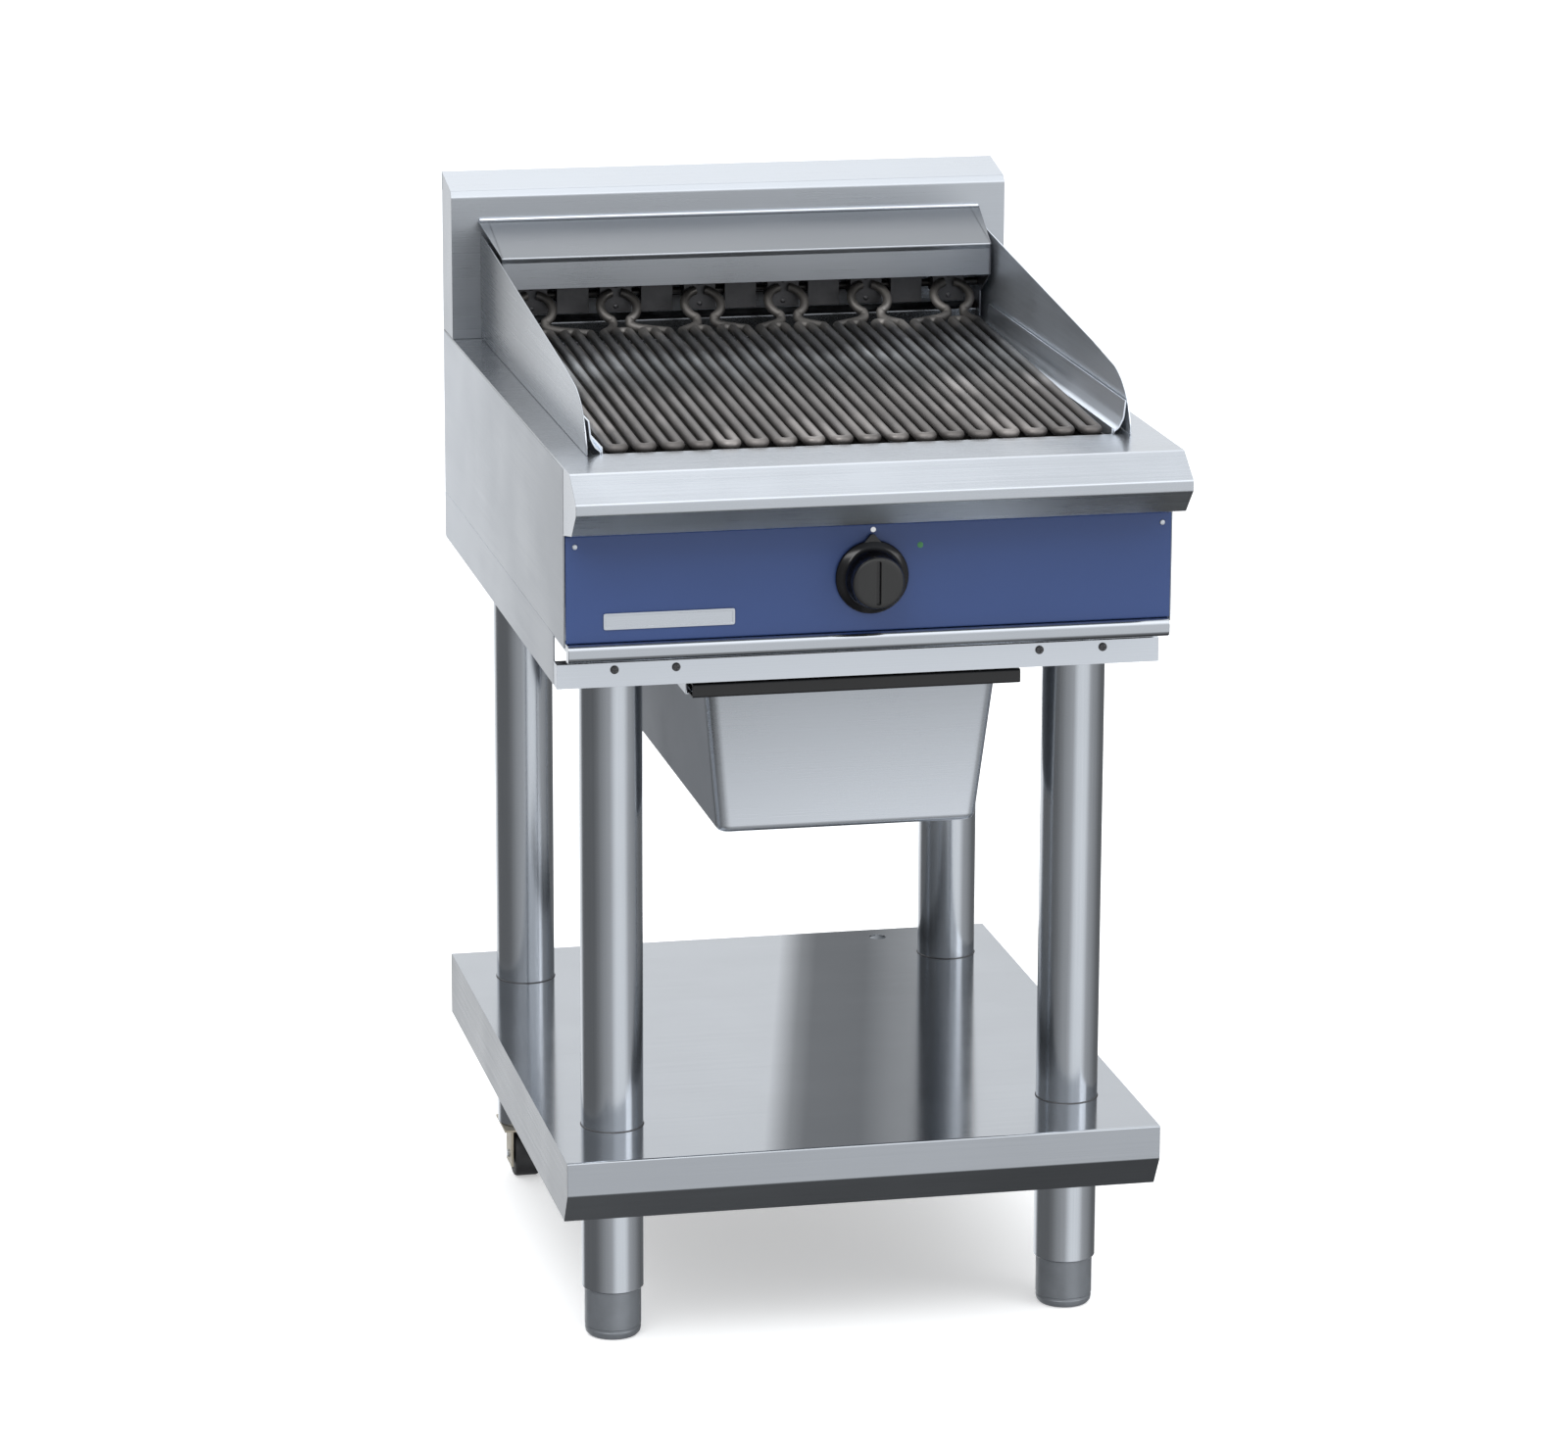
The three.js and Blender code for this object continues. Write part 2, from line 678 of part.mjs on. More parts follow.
// The bar across the liner that the elements rest on
const restY = wellFrontY + restBarSetback;
const restTopZ = gridHeightAt(restY) - tubeRadius - clearance;
const restBottomZ = restTopZ - restBarSize;
const linerHalfAtRest = gridHalf
  - ((gridHalf - linerMouthHalfWidth) * (linerTop - restBottomZ)) / (linerTop - linerMouthZ);
place("grid_rest_bar", block(clearance - linerHalfAtRest, linerHalfAtRest - clearance,
  -restBarSize / 2, restBarSize / 2, -restBarSize, 0), darkSteel, [0, restY, restTopZ]);

// ---- Leg beams and runners ----------------------------------------------------------------

const legRadius = legDiameter / 2;
const beamHalf = legRadius + clearance + sheet;
const beamTopGap = 2;
const beamFootGap = 1;
const beamTopZ = skirtTopZ - beamTopGap;
const legTopZ = beamTopZ - legTopGap;
const rimHalf = panTopHalfWidth + panRim;
const gripHalfWidth = rimHalf + gripOverhang;
const runnerSideGap = 2;
const runnerRise = 4;
const runnerX = gripHalfWidth + runnerSideGap;
const runnerLipZ = panTopZ - runnerPlay - 2 * sheet;
for (const [hand, side] of sides) {
  const centre = side * legX;
  const beam = foldedSheet([
    [centre - beamHalf, baseZ + sheet + beamFootGap], [centre - beamHalf, beamTopZ],
    [centre + beamHalf, beamTopZ], [centre + beamHalf, baseZ + sheet + beamFootGap]], -sheet);
  place(`leg_beam_${hand}`, alongY(beam, legFrontY - beamHalf, legRearY + beamHalf), steel);

  const hang = side * (legX - beamHalf - clearance);
  const runner = foldedSheet([
    [hang, beamTopZ], [hang, baseZ + runnerRise], [side * runnerX, baseZ + runnerRise],
    [side * runnerX, runnerLipZ], [side * (runnerX - runnerLip), runnerLipZ]], -side * sheet);
  place(`pan_runner_${hand}`, alongY(runner, panFrontY, panRearY + panRim), steel);
}

// ---- Drip pan -----------------------------------------------------------------------------

const rimFrontReach = 4;
const gripSag = 2;
const panBottomZ = panTopZ - panHeight;
const panRect = (shrink, z, top) => top
  ? [shrink - panTopHalfWidth, panTopHalfWidth - shrink, panFrontY + shrink, panRearY - shrink, z]
  : [shrink - panBottomHalfWidth, panBottomHalfWidth - shrink,
    panFrontY + panEndTaper + shrink, panRearY - panEndTaper - shrink, z];
const panShell = cut(taperedBlock(panRect(0, panBottomZ, false), panRect(0, panTopZ, true)),
  taperedBlock(panRect(sheet, panBottomZ + sheet, false),
    panRect(sheet, panTopZ + openEnd, true)));
const panRimPlate = cut(
  block(-rimHalf, rimHalf, panFrontY - rimFrontReach, panRearY + panRim,
    panTopZ - sheet, panTopZ),
  block(sheet - panTopHalfWidth, panTopHalfWidth - sheet, panFrontY + sheet, panRearY - sheet,
    panTopZ - 2 * sheet, panTopZ + sheet));
const pan = new THREE.Group();
pan.position.set(0, panFrontY, panTopZ);
grill.add(pan);
place("drip_pan", join(panShell, panRimPlate).translate(0, -panFrontY, -panTopZ), brightSteel,
  [0, 0, 0], pan);

const gripBackY = -rimFrontReach - clearance;
const gripFold = foldedSheet([
  [gripBackY, gripHeight], [-gripDepth, gripHeight], [-gripDepth, 0], [gripBackY, 0]], sheet);
place("pan_grip", alongX(gripFold, -gripHalfWidth, gripHalfWidth), black,
  [0, 0, -gripSag], pan);

// ---- Knob, spindle and energy regulator ---------------------------------------------------

const knob = new THREE.Group();
knob.position.set(0, panelY, knobZ);
grill.add(knob);

const spindleRadius = spindleDiameter / 2;
const spindleCover = 9;
const spindleTip = knobReach - spindleCover;
function knobBody() {
  const skirtThickness = 4;
  const skirtSlopeTop = 8;
  const neckHeight = 11;
  const edgeRound = 2.5;
  const edgeHeight = 3;
  const body = turned([
    [0, knobGap], [knobSkirtRadius, knobGap], [knobSkirtRadius - 1, knobGap + skirtThickness],
    [knobGripRadius + 3, knobGap + skirtSlopeTop], [knobGripRadius + 1, knobGap + neckHeight],
    [knobGripRadius, knobReach - edgeHeight], [knobGripRadius - edgeRound, knobReach],
    [0, knobReach]], 40).rotateX(Math.PI / 2);
  const pointerRoot = 30;
  const pointerRootHalf = 12;
  const pointerTipHalf = 1.5;
  const pointer = alongY(outline([
    [-pointerRootHalf, pointerRoot], [pointerRootHalf, pointerRoot],
    [pointerTipHalf, pointerReach], [-pointerTipHalf, pointerReach]]),
  -knobGap - skirtThickness, -knobGap);
  const grooveHalf = 2;
  const grooveDepth = 2;
  const grooveReach = 21;
  const groove = block(-grooveHalf, grooveHalf, -knobReach - 1, grooveDepth - knobReach,
    -grooveReach, grooveReach);
  const bore = rodY(spindleRadius + clearance, -spindleTip - clearance, 0, 0, 0, 20);
  return cut(join(body, pointer), groove, bore);
}
place("knob", knobBody(), black, [0, 0, 0], knob);
place("knob_spindle", rodY(spindleRadius, -spindleTip, regulatorDepth, 0, 0, 16), brightSteel,
  [0, 0, 0], knob);

const regulatorStart = sheet + 1;
const regulatorEnd = regulatorStart + regulatorDepth;
const collarReach = 0.5;
const regulatorBody = block(-regulatorSize / 2, regulatorSize / 2, regulatorStart, regulatorEnd,
  -regulatorSize / 2, regulatorSize / 2);
const regulatorCollar = rodY(collarDiameter / 2, -collarReach, regulatorStart + 1, 0, 0, 20);
const regulatorBore = rodY(
  spindleRadius + spindleRunning, -regulatorStart, regulatorEnd + 1, 0, 0, 20);
place("energy_regulator", cut(join(regulatorBody, regulatorCollar), regulatorBore), ceramic,
  [0, panelY, knobZ]);

// ---- Mains entry --------------------------------------------------------------------------

const glandOuterRadius = 13;
const glandBoreRadius = 6;
const glandInner = -16;
const glandCollarTop = 8;
const glandOuter = rearPanelInset - 2;
const gland = turned([
  [glandBoreRadius, glandInner], [glandThreadRadius, glandInner], [glandThreadRadius, clearance],
  [glandOuterRadius, clearance], [glandOuterRadius, glandCollarTop],
  [glandThreadRadius, glandOuter], [glandBoreRadius, glandOuter],
  [glandBoreRadius, glandInner]], 24);
place("cable_gland", gland.rotateX(-Math.PI / 2), black, [glandX, rearPanelY, glandZ]);

const terminalLength = 70;
const terminalDepth = 24;
const terminalHeight = 28;
const terminalWays = 5;
const terminalHoleRadius = 3;
const terminalHoleDepth = 9;
const terminalSpacing = 90;
function terminalBlock() {
  const stock = new THREE.BoxGeometry(terminalLength, terminalDepth, terminalHeight);
  const pitch = terminalLength / terminalWays;
  const holes = Array.from({ length: terminalWays }, (_, way) => rodY(terminalHoleRadius,
    -terminalDepth, terminalHoleDepth - terminalDepth / 2, (way - (terminalWays - 1) / 2) * pitch, 0, 12));
  return cut(stock, ...holes);
}
place("terminal_block", terminalBlock(), ceramic,
  [glandX - terminalSpacing, rearPanelY - sheet - clearance - terminalDepth / 2, glandZ]);

// ---- Shelf --------------------------------------------------------------------------------

const shelfFrontY = frontY + shelfFrontSetback;
const shelfRearY = rearY - shelfRearSetback;
const shelfBottomZ = shelfTop - shelfSkirt;
const shelfEdge = [
  [shelfFrontY + shelfReturn, shelfTop - shelfFace - shelfReturnDrop],
  [shelfFrontY, shelfTop - shelfFace], [shelfFrontY, shelfTop], [shelfRearY, shelfTop],
  [shelfRearY, shelfBottomZ]];
const legPlaces = [
  ["front_left", -legX, legFrontY, legFoot], ["front_right", legX, legFrontY, legFoot],
  ["rear_left", -legX, legRearY, rollerHeight], ["rear_right", legX, legRearY, rollerHeight]];
const drillReach = 9;
const drill = (radius, x, y, segments) =>
  rodZ(radius, shelfTop - drillReach, shelfTop + drillReach, x, y, segments);
const shelfHoles = legPlaces.map(([, x, y]) => drill(legRadius + clearance, x, y, 32));
const drainHole = drill(drainRadius, drainX, shelfRearY - drainInset, 16);
place("shelf", cut(withEnds(shelfEdge, -sheet, []), ...shelfHoles, drainHole), steel);

// ---- Legs, feet and rollers ---------------------------------------------------------------

const tube = (outer, inner, from, to, segments) => {
  const ring = new THREE.Shape();
  ring.absarc(0, 0, outer, 0, 2 * Math.PI, false);
  ring.holes.push(circleHole(0, 0, inner));
  return alongZ(ring, from, to, segments);
};

for (const [corner, x, y, underside] of legPlaces) {
  const legBottomZ = underside + 2 * clearance;
  place(`leg_${corner}`, tube(legRadius, legRadius - legWall, legBottomZ, legTopZ, 16), steel,
    [x, y, 0]);
}

const plugRadius = legRadius - legWall - clearance;
const threadRadius = footStemDiameter / 2;
const plugRise = 2;
for (const [hand, side] of sides) {
  const plug = tube(plugRadius, threadRadius + clearance, 0, footPlugHeight, 14);
  place(`leg_plug_${hand}`, plug, grey, [side * legX, legFrontY, legFoot + plugRise]);

  const footRadius = legRadius - footStep;
  const toeRound = 8;
  const foot = turned([
    [0, 0], [footRadius - toeRound, 0], [footRadius - 2, 3], [footRadius, toeRound],
    [footRadius, legFoot],
    [threadRadius, legFoot], [threadRadius, legFoot + footStemReach], [0, legFoot + footStemReach]]);
  place(`foot_${hand}`, foot, grey, [side * legX, legFrontY, 0]);
}

const wheelRadius = wheelDiameter / 2;
const forkInner = wheelWidth / 2 + forkGap;
const forkOuter = forkInner + forkThickness;
const forkTopZ = rollerHeight + clearance;
const forkDrop = 11;
const forkHalfLength = 16;
const flangeSpan = 25;
const flangeFront = -20;
const flangeRear = 40;
const wheelRound = 3;
for (const [hand, side] of sides) {
  const roller = new THREE.Group();
  roller.position.set(side * (legX + wheelSideShift), legRearY - wheelFrontShift, wheelRadius);
  grill.add(roller);

  const topZ = forkTopZ - wheelRadius;
  const fork = foldedSheet([
    [-forkOuter, -forkDrop], [-forkOuter, topZ], [forkOuter, topZ], [forkOuter, -forkDrop]],
  -forkThickness);
  const flange = block(-flangeSpan, flangeSpan, flangeFront, flangeRear,
    topZ - forkThickness, topZ);
  const axleHole = rodX(axleDiameter / 2 + clearance, -2 * forkOuter, 2 * forkOuter, 0, 0, 20);
  const bracket = join(alongY(fork, -forkHalfLength, forkHalfLength), flange);
  place(`roller_bracket_${hand}`, cut(bracket, axleHole), zinc, [0, 0, 0], roller);

  place(`roller_axle_${hand}`, rodX(axleDiameter / 2, -forkOuter - 2, forkOuter + 2, 0, 0, 20),
    brightSteel, [0, 0, 0], roller);

  const bore = axleDiameter / 2 + axleRunning;
  const wheel = turned([
    [bore, -wheelWidth / 2], [wheelRadius - wheelRound, -wheelWidth / 2],
    [wheelRadius, wheelRound - wheelWidth / 2], [wheelRadius, wheelWidth / 2 - wheelRound],
    [wheelRadius - wheelRound, wheelWidth / 2], [bore, wheelWidth / 2],
    [bore, -wheelWidth / 2]]).rotateY(Math.PI / 2);
  place(`roller_wheel_${hand}`, wheel, rubber, [0, 0, 0], roller);
}

export default grill;
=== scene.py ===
# Looks for the electric charbroiler grill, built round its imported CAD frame.
# Shapes are worked out in millimetres in the frame's own axes and turned into metres when a
# mesh is made: +Z up, the front faces -Y.
import json
import math

import bmesh
import bpy
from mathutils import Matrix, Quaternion, Vector

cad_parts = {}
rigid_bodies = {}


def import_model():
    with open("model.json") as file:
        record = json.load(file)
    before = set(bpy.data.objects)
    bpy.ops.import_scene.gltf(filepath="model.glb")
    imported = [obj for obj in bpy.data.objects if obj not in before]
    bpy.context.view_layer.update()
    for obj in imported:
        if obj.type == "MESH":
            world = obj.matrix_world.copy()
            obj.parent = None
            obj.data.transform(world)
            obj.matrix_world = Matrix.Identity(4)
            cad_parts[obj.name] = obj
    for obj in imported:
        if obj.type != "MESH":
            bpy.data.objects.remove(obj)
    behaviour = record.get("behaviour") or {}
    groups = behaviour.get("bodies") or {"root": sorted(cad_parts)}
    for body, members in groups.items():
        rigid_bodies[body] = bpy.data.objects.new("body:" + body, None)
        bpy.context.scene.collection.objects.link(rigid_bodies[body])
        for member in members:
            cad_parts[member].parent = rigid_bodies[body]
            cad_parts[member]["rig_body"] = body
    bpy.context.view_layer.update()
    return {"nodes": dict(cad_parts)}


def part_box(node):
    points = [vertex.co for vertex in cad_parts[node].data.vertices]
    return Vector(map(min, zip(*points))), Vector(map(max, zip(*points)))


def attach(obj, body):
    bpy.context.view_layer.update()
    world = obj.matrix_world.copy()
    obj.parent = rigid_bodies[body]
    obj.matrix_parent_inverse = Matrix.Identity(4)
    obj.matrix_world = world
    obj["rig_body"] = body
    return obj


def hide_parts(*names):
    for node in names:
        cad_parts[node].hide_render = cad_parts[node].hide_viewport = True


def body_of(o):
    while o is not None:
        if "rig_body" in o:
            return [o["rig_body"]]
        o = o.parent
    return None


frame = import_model()

MM = 0.001
SHEET = 1.5
END_INSET = 0.2
CUT_REACH = 9
ROD_BORE = 4.3
STAND = "stand_and_body"
HANDS = (("left", -1), ("right", 1))


def add_object(name, data):
    obj = bpy.data.objects.new(name, data)
    bpy.context.scene.collection.objects.link(obj)
    return obj


# ---- Camera ----

CAMERA_PLACE = (-1.2032, -5.5404, 2.0115)
CAMERA_AZIMUTH = math.radians(-12.124)
CAMERA_ELEVATION = math.radians(14.307)
CAMERA_ROLL = math.radians(0.2164)


def add_camera():
    data = bpy.data.cameras.new("camera")
    data.lens = 130.77
    data.sensor_width = 36
    camera = add_object("camera", data)
    back = Vector((
        math.sin(CAMERA_AZIMUTH) * math.cos(CAMERA_ELEVATION),
        -math.cos(CAMERA_AZIMUTH) * math.cos(CAMERA_ELEVATION),
        math.sin(CAMERA_ELEVATION)))
    camera.location = CAMERA_PLACE
    camera.rotation_mode = "QUATERNION"
    camera.rotation_quaternion = back.to_track_quat("Z", "Y") @ Quaternion((0, 0, 1), CAMERA_ROLL)
    bpy.context.scene.camera = camera


# ---- Studio ----

class Nodes:
    """Makes and joins the nodes of one material or world."""

    def __init__(self, tree):
        self.tree = tree

    def new(self, kind, settings=None, **inputs):
        node = self.tree.nodes.new(kind)
        for name, value in (settings or {}).items():
            setattr(node, name, value)
        for name, value in inputs.items():
            self.feed(node.inputs[name.replace("_", " ")], value)
        return node

    def feed(self, socket, value):
        if isinstance(value, bpy.types.NodeSocket):
            self.tree.links.new(value, socket)
        else:
            socket.default_value = value

    def math(self, operation, first, second=0.0):
        node = self.tree.nodes.new("ShaderNodeMath")
        node.operation = operation
        self.feed(node.inputs[0], first)
        self.feed(node.inputs[1], second)
        return node.outputs[0]

    def dot(self, vector, direction):
        node = self.new("ShaderNodeVectorMath", {"operation": "DOT_PRODUCT"})
        self.feed(node.inputs[0], vector)
        node.inputs[1].default_value = direction
        return node.outputs["Value"]

    def scaled(self, vector, factor):
        node = self.new("ShaderNodeVectorMath", {"operation": "SCALE"}, Scale=factor)
        self.feed(node.inputs[0], vector)
        return node.outputs["Vector"]

    def smooth_range(self, value, low, high, to_low=0.0, to_high=1.0):
        node = self.tree.nodes.new("ShaderNodeMapRange")
        node.interpolation_type = "SMOOTHSTEP"
        for name, number in (("Value", value), ("From Min", low), ("From Max", high),
                             ("To Min", to_low), ("To Max", to_high)):
            self.feed(node.inputs[name], number)
        return node.outputs["Result"]

    def ramp(self, factor, stops):
        node = self.tree.nodes.new("ShaderNodeValToRGB")
        elements = node.color_ramp.elements
        for element, (position, colour) in zip((elements[0], elements[1]), (stops[0], stops[-1])):
            element.position = position
            element.color = colour
        for position, colour in stops[1:-1]:
            elements.new(position).color = colour
        self.feed(node.inputs["Fac"], factor)
        return node.outputs["Color"]


def add_world():
    """A soft studio: bright behind, above and to the front right, dim at the sides and below."""
    world = bpy.data.worlds.new("studio")
    world.use_nodes = True
    bpy.context.scene.world = world
    nodes = Nodes(world.node_tree)
    direction = nodes.new("ShaderNodeTexCoord").outputs["Generated"]
    split = nodes.new("ShaderNodeSeparateXYZ", Vector=direction)
    level = nodes.new("ShaderNodeCombineXYZ", X=split.outputs["X"], Y=split.outputs["Y"])
    heading = nodes.new("ShaderNodeVectorMath", {"operation": "NORMALIZE"})
    nodes.feed(heading.inputs[0], level.outputs["Vector"])

    def lobe(azimuth, inner, outer, strength):
        """Full strength within the inner angle of an azimuth, none beyond the outer one."""
        angle = math.radians(azimuth)
        towards = (math.sin(angle), -math.cos(angle), 0)
        facing = nodes.dot(heading.outputs["Vector"], towards)
        return nodes.smooth_range(facing, math.cos(math.radians(outer)),
                                  math.cos(math.radians(inner)), 0, strength)

    ambient = 0.16
    behind = lobe(azimuth=184, inner=14, outer=40, strength=0.9)
    front_right = lobe(azimuth=22, inner=8, outer=36, strength=0.5)
    wide_right = lobe(azimuth=20, inner=5, outer=100, strength=0.32)
    above = nodes.smooth_range(split.outputs["Z"], 0.2, 0.85, 0, 1)
    light = nodes.math("ADD", behind, front_right)
    for more in (wide_right, above, ambient):
        light = nodes.math("ADD", light, more)
    below = nodes.smooth_range(split.outputs["Z"], -0.85, -0.48, 0.27, 1)
    light = nodes.math("MULTIPLY", light, below)
    background = world.node_tree.nodes["Background"]
    background.inputs["Color"].default_value = (0.97, 0.985, 1, 1)
    world.node_tree.links.new(light, background.inputs["Strength"])


def add_area_light(name, place, target, size, watts):
    data = bpy.data.lights.new(name, "AREA")
    data.shape = "RECTANGLE"
    data.size, data.size_y = size
    data.energy = watts
    lamp = add_object(name, data)
    lamp.location = place
    lamp.rotation_euler = (Vector(target) - Vector(place)).to_track_quat("-Z", "Y").to_euler()
    lamp.visible_camera = False


def add_floor():
    """A plain pale floor that the steel doesn't mirror."""
    half = 30
    mesh = bpy.data.meshes.new("studio_floor")
    corners = [(-half, -half, 0), (half, -half, 0), (half, half, 0), (-half, half, 0)]
    mesh.from_pydata(corners, [], [(0, 1, 2, 3)])
    floor = add_object("studio_floor", mesh)
    material = bpy.data.materials.new("floor_paint")
    material.use_nodes = True
    shader = material.node_tree.nodes["Principled BSDF"]
    shader.inputs["Base Color"].default_value = (0.9, 0.905, 0.91, 1)
    shader.inputs["Roughness"].default_value = 0.9
    shader.inputs["Specular IOR Level"].default_value = 0.1
    shader.inputs["Emission Color"].default_value = (1, 1, 1, 1)
    shader.inputs["Emission Strength"].default_value = 0.42
    mesh.materials.append(material)
    floor.visible_glossy = False


def add_studio():
    add_world()
    add_area_light("key_light", (-1.6, -2.4, 3.4), (0, 0, 0.8), size=(2.2, 2.2), watts=60)
    add_area_light("fill_light", (2.6, -2.2, 2.2), (0, 0, 0.6), size=(1.6, 2.2), watts=22)
    add_floor()
    bpy.context.scene.view_settings.view_transform = "Standard"


# ---- Materials ----

# Most of a noise texture's values lie in this span
NOISE_SPAN = (0.3, 0.7)


def start_material(name, colour, roughness, metallic):
    material = bpy.data.materials.new(name)
    material.use_nodes = True
    shader = material.node_tree.nodes["Principled BSDF"]
    shader.inputs["Base Color"].default_value = (*colour, 1)
    shader.inputs["Roughness"].default_value = roughness
    shader.inputs["Metallic"].default_value = metallic
    return material, Nodes(material.node_tree), shader


def noise(nodes, scale, detail, roughness=0.5, stretch=(1, 1, 1)):
    """Noise in the object's own coordinates, in metres. stretch is a scale for each axis."""
    place = nodes.new("ShaderNodeTexCoord").outputs["Object"]
    mapping = nodes.new("ShaderNodeMapping", Vector=place, Scale=stretch)
    texture = nodes.new("ShaderNodeTexNoise", Vector=mapping.outputs["Vector"],
                        Scale=scale, Detail=detail, Roughness=roughness)
    return texture.outputs["Fac"]


def tinted(nodes, factor, colour, low, high):
    """The colour, darker or lighter as a noise runs over its span."""
    stops = [(NOISE_SPAN[0], (*[c * low for c in colour], 1)),
             (NOISE_SPAN[1], (*[min(c * high, 1) for c in colour], 1))]
    return nodes.ramp(factor, stops)


def glossed(nodes, shader, factor, low, high):
    """Roughness that runs from low to high as a noise runs over its span."""
    nodes.feed(shader.inputs["Roughness"], nodes.smooth_range(factor, *NOISE_SPAN, low, high))


def bumped(nodes, shader, height, strength, distance):
    bump = nodes.new("ShaderNodeBump", Height=height, Strength=strength, Distance=distance)
    nodes.feed(shader.inputs["Normal"], bump.outputs["Normal"])


GRAIN_MAP = "grain"
GRAIN_STRETCH = {"X": (4, 800, 800), "Y": (800, 4, 800), "Z": (800, 800, 4)}


def brushed(name, tone, grain="X", roughness=0.3, cloud=0.05, streak=0.06, painted_shade=None,
            painted_shade_in_reflection=False):
    """Brushed stainless steel: fine streaks along the grain and faint handling marks.

    The painted shade is (direction, from, to, stops): painted shade and reflection darken the
    sheet's tone over that distance, in metres, and each stop is a share of the distance and the
    share of the tone there. With painted shade in the reflection too, the reflection at low angles
    fades with it.
    """
    colour = (tone * 0.95, tone, tone * 1.07)
    material, nodes, shader = start_material(name, colour, roughness, 1)
    streaks = noise(nodes, 1, detail=4, roughness=0.7, stretch=GRAIN_STRETCH[grain])
    clouds = noise(nodes, 9, detail=3)
    streak_share = 0.6
    mixed = nodes.math("ADD", nodes.math("MULTIPLY", streaks, streak_share),
                       nodes.math("MULTIPLY", clouds, 1 - streak_share))
    shade = tinted(nodes, mixed, colour, 1 - streak, 1 + streak)
    # Painted shade and reflection: the tone scaled by a ramp along one direction
    if painted_shade:
        direction, start, end, stops = painted_shade
        place = nodes.new("ShaderNodeTexCoord").outputs["Object"]
        reach = nodes.math("SUBTRACT", nodes.dot(place, direction), start)
        part = nodes.math("DIVIDE", reach, end - start)
        painted_shade_tone = nodes.ramp(part, [(spot, (share, share, share, 1)) for spot, share in stops])
        shade = nodes.scaled(shade, painted_shade_tone)
        if painted_shade_in_reflection:
            nodes.feed(shader.inputs["Specular Tint"], painted_shade_tone)
    nodes.feed(shader.inputs["Base Color"], shade)
    glossed(nodes, shader, mixed, roughness - cloud, roughness + cloud)
    bumped(nodes, shader, streaks, strength=0.06, distance=0.0002)
    return material


def smeared(material, strength):
    """Reflections drawn out across the grain, along the U of the mesh's grain map."""
    nodes = Nodes(material.node_tree)
    shader = material.node_tree.nodes["Principled BSDF"]
    shader.inputs["Anisotropic"].default_value = strength
    tangent = nodes.new("ShaderNodeTangent", {"direction_type": "UV_MAP", "uv_map": GRAIN_MAP})
    nodes.feed(shader.inputs["Tangent"], tangent.outputs["Tangent"])
    return material


def painted(name, colour, roughness, grain_scale, bump, coat=0.0):
    """Paint, enamel or a moulding: fine texture, slight colour change and uneven gloss."""
    material, nodes, shader = start_material(name, colour, roughness, 0)
    fine = noise(nodes, grain_scale, detail=2)
    broad = noise(nodes, 7, detail=4)
    nodes.feed(shader.inputs["Base Color"], tinted(nodes, broad, colour, 0.94, 1.06))
    glossed(nodes, shader, broad, roughness * 0.85, roughness * 1.15)
    shader.inputs["Coat Weight"].default_value = coat
    shader.inputs["Coat Roughness"].default_value = 0.12
    bumped(nodes, shader, fine, strength=bump, distance=0.0003)
    return material


def heat_stain_and_painted_light_sheath():
    """Dark grey sheath, pale patches, browner front and rings; painted reflection and shade along
    it.
    """
    material, nodes, shader = start_material("element_sheath", (0.1, 0.1, 0.1), 0.5, 0.75)
    place = nodes.new("ShaderNodeTexCoord").outputs["Object"]
    split = nodes.new("ShaderNodeSeparateXYZ", Vector=place)
    mottle = noise(nodes, 26, detail=4, roughness=0.6, stretch=(1, 0.35, 1))
    wander = 0.16
    shift = nodes.math("MULTIPLY", nodes.math("SUBTRACT", mottle, 0.5), wander)
    grid_front, ring_top = -0.28, 0.3
    along = nodes.smooth_range(nodes.math("ADD", split.outputs["Y"], shift), grid_front, ring_top)
    # Stops from the grid's front to the rings: browner heat staining at the front and the rings, a
    # painted lighter reflection band about 0.64 of the way back, and painted shade darkening the
    # rear of the grid
    stops = [(0.0, (0.15, 0.14, 0.135, 1)), (0.22, (0.18, 0.17, 0.165, 1)),
             (0.45, (0.085, 0.085, 0.085, 1)), (0.64, (0.15, 0.155, 0.16, 1)),
             (0.78, (0.028, 0.028, 0.03, 1)), (0.9, (0.045, 0.045, 0.046, 1)),
             (1.0, (0.17, 0.16, 0.15, 1))]
    patchy = noise(nodes, 11, detail=2, stretch=(1, 0.5, 1))
    patches = nodes.smooth_range(patchy, 0.52, 0.68, 0.9, 1.9)
    nodes.feed(shader.inputs["Base Color"], nodes.scaled(nodes.ramp(along, stops), patches))
    glossed(nodes, shader, mottle, 0.42, 0.62)
    bumped(nodes, shader, noise(nodes, 500, detail=3), strength=0.25, distance=0.0003)
    return material


def rubbed(name, colour, metallic, roughness, spread=0.2, scale=30):
    """Dull or stained metal and mouldings with a broad blotchy change of colour."""
    material, nodes, shader = start_material(name, colour, roughness, metallic)
    blotch = noise(nodes, scale, detail=5, roughness=0.6)
    nodes.feed(shader.inputs["Base Color"], tinted(nodes, blotch, colour, 1 - spread, 1 + spread))
    glossed(nodes, shader, blotch, roughness * 0.8, roughness * 1.2)
    grain = noise(nodes, scale * 18, detail=2)
    bumped(nodes, shader, grain, strength=0.15, distance=0.0003)
    return material


add_camera()
add_studio()
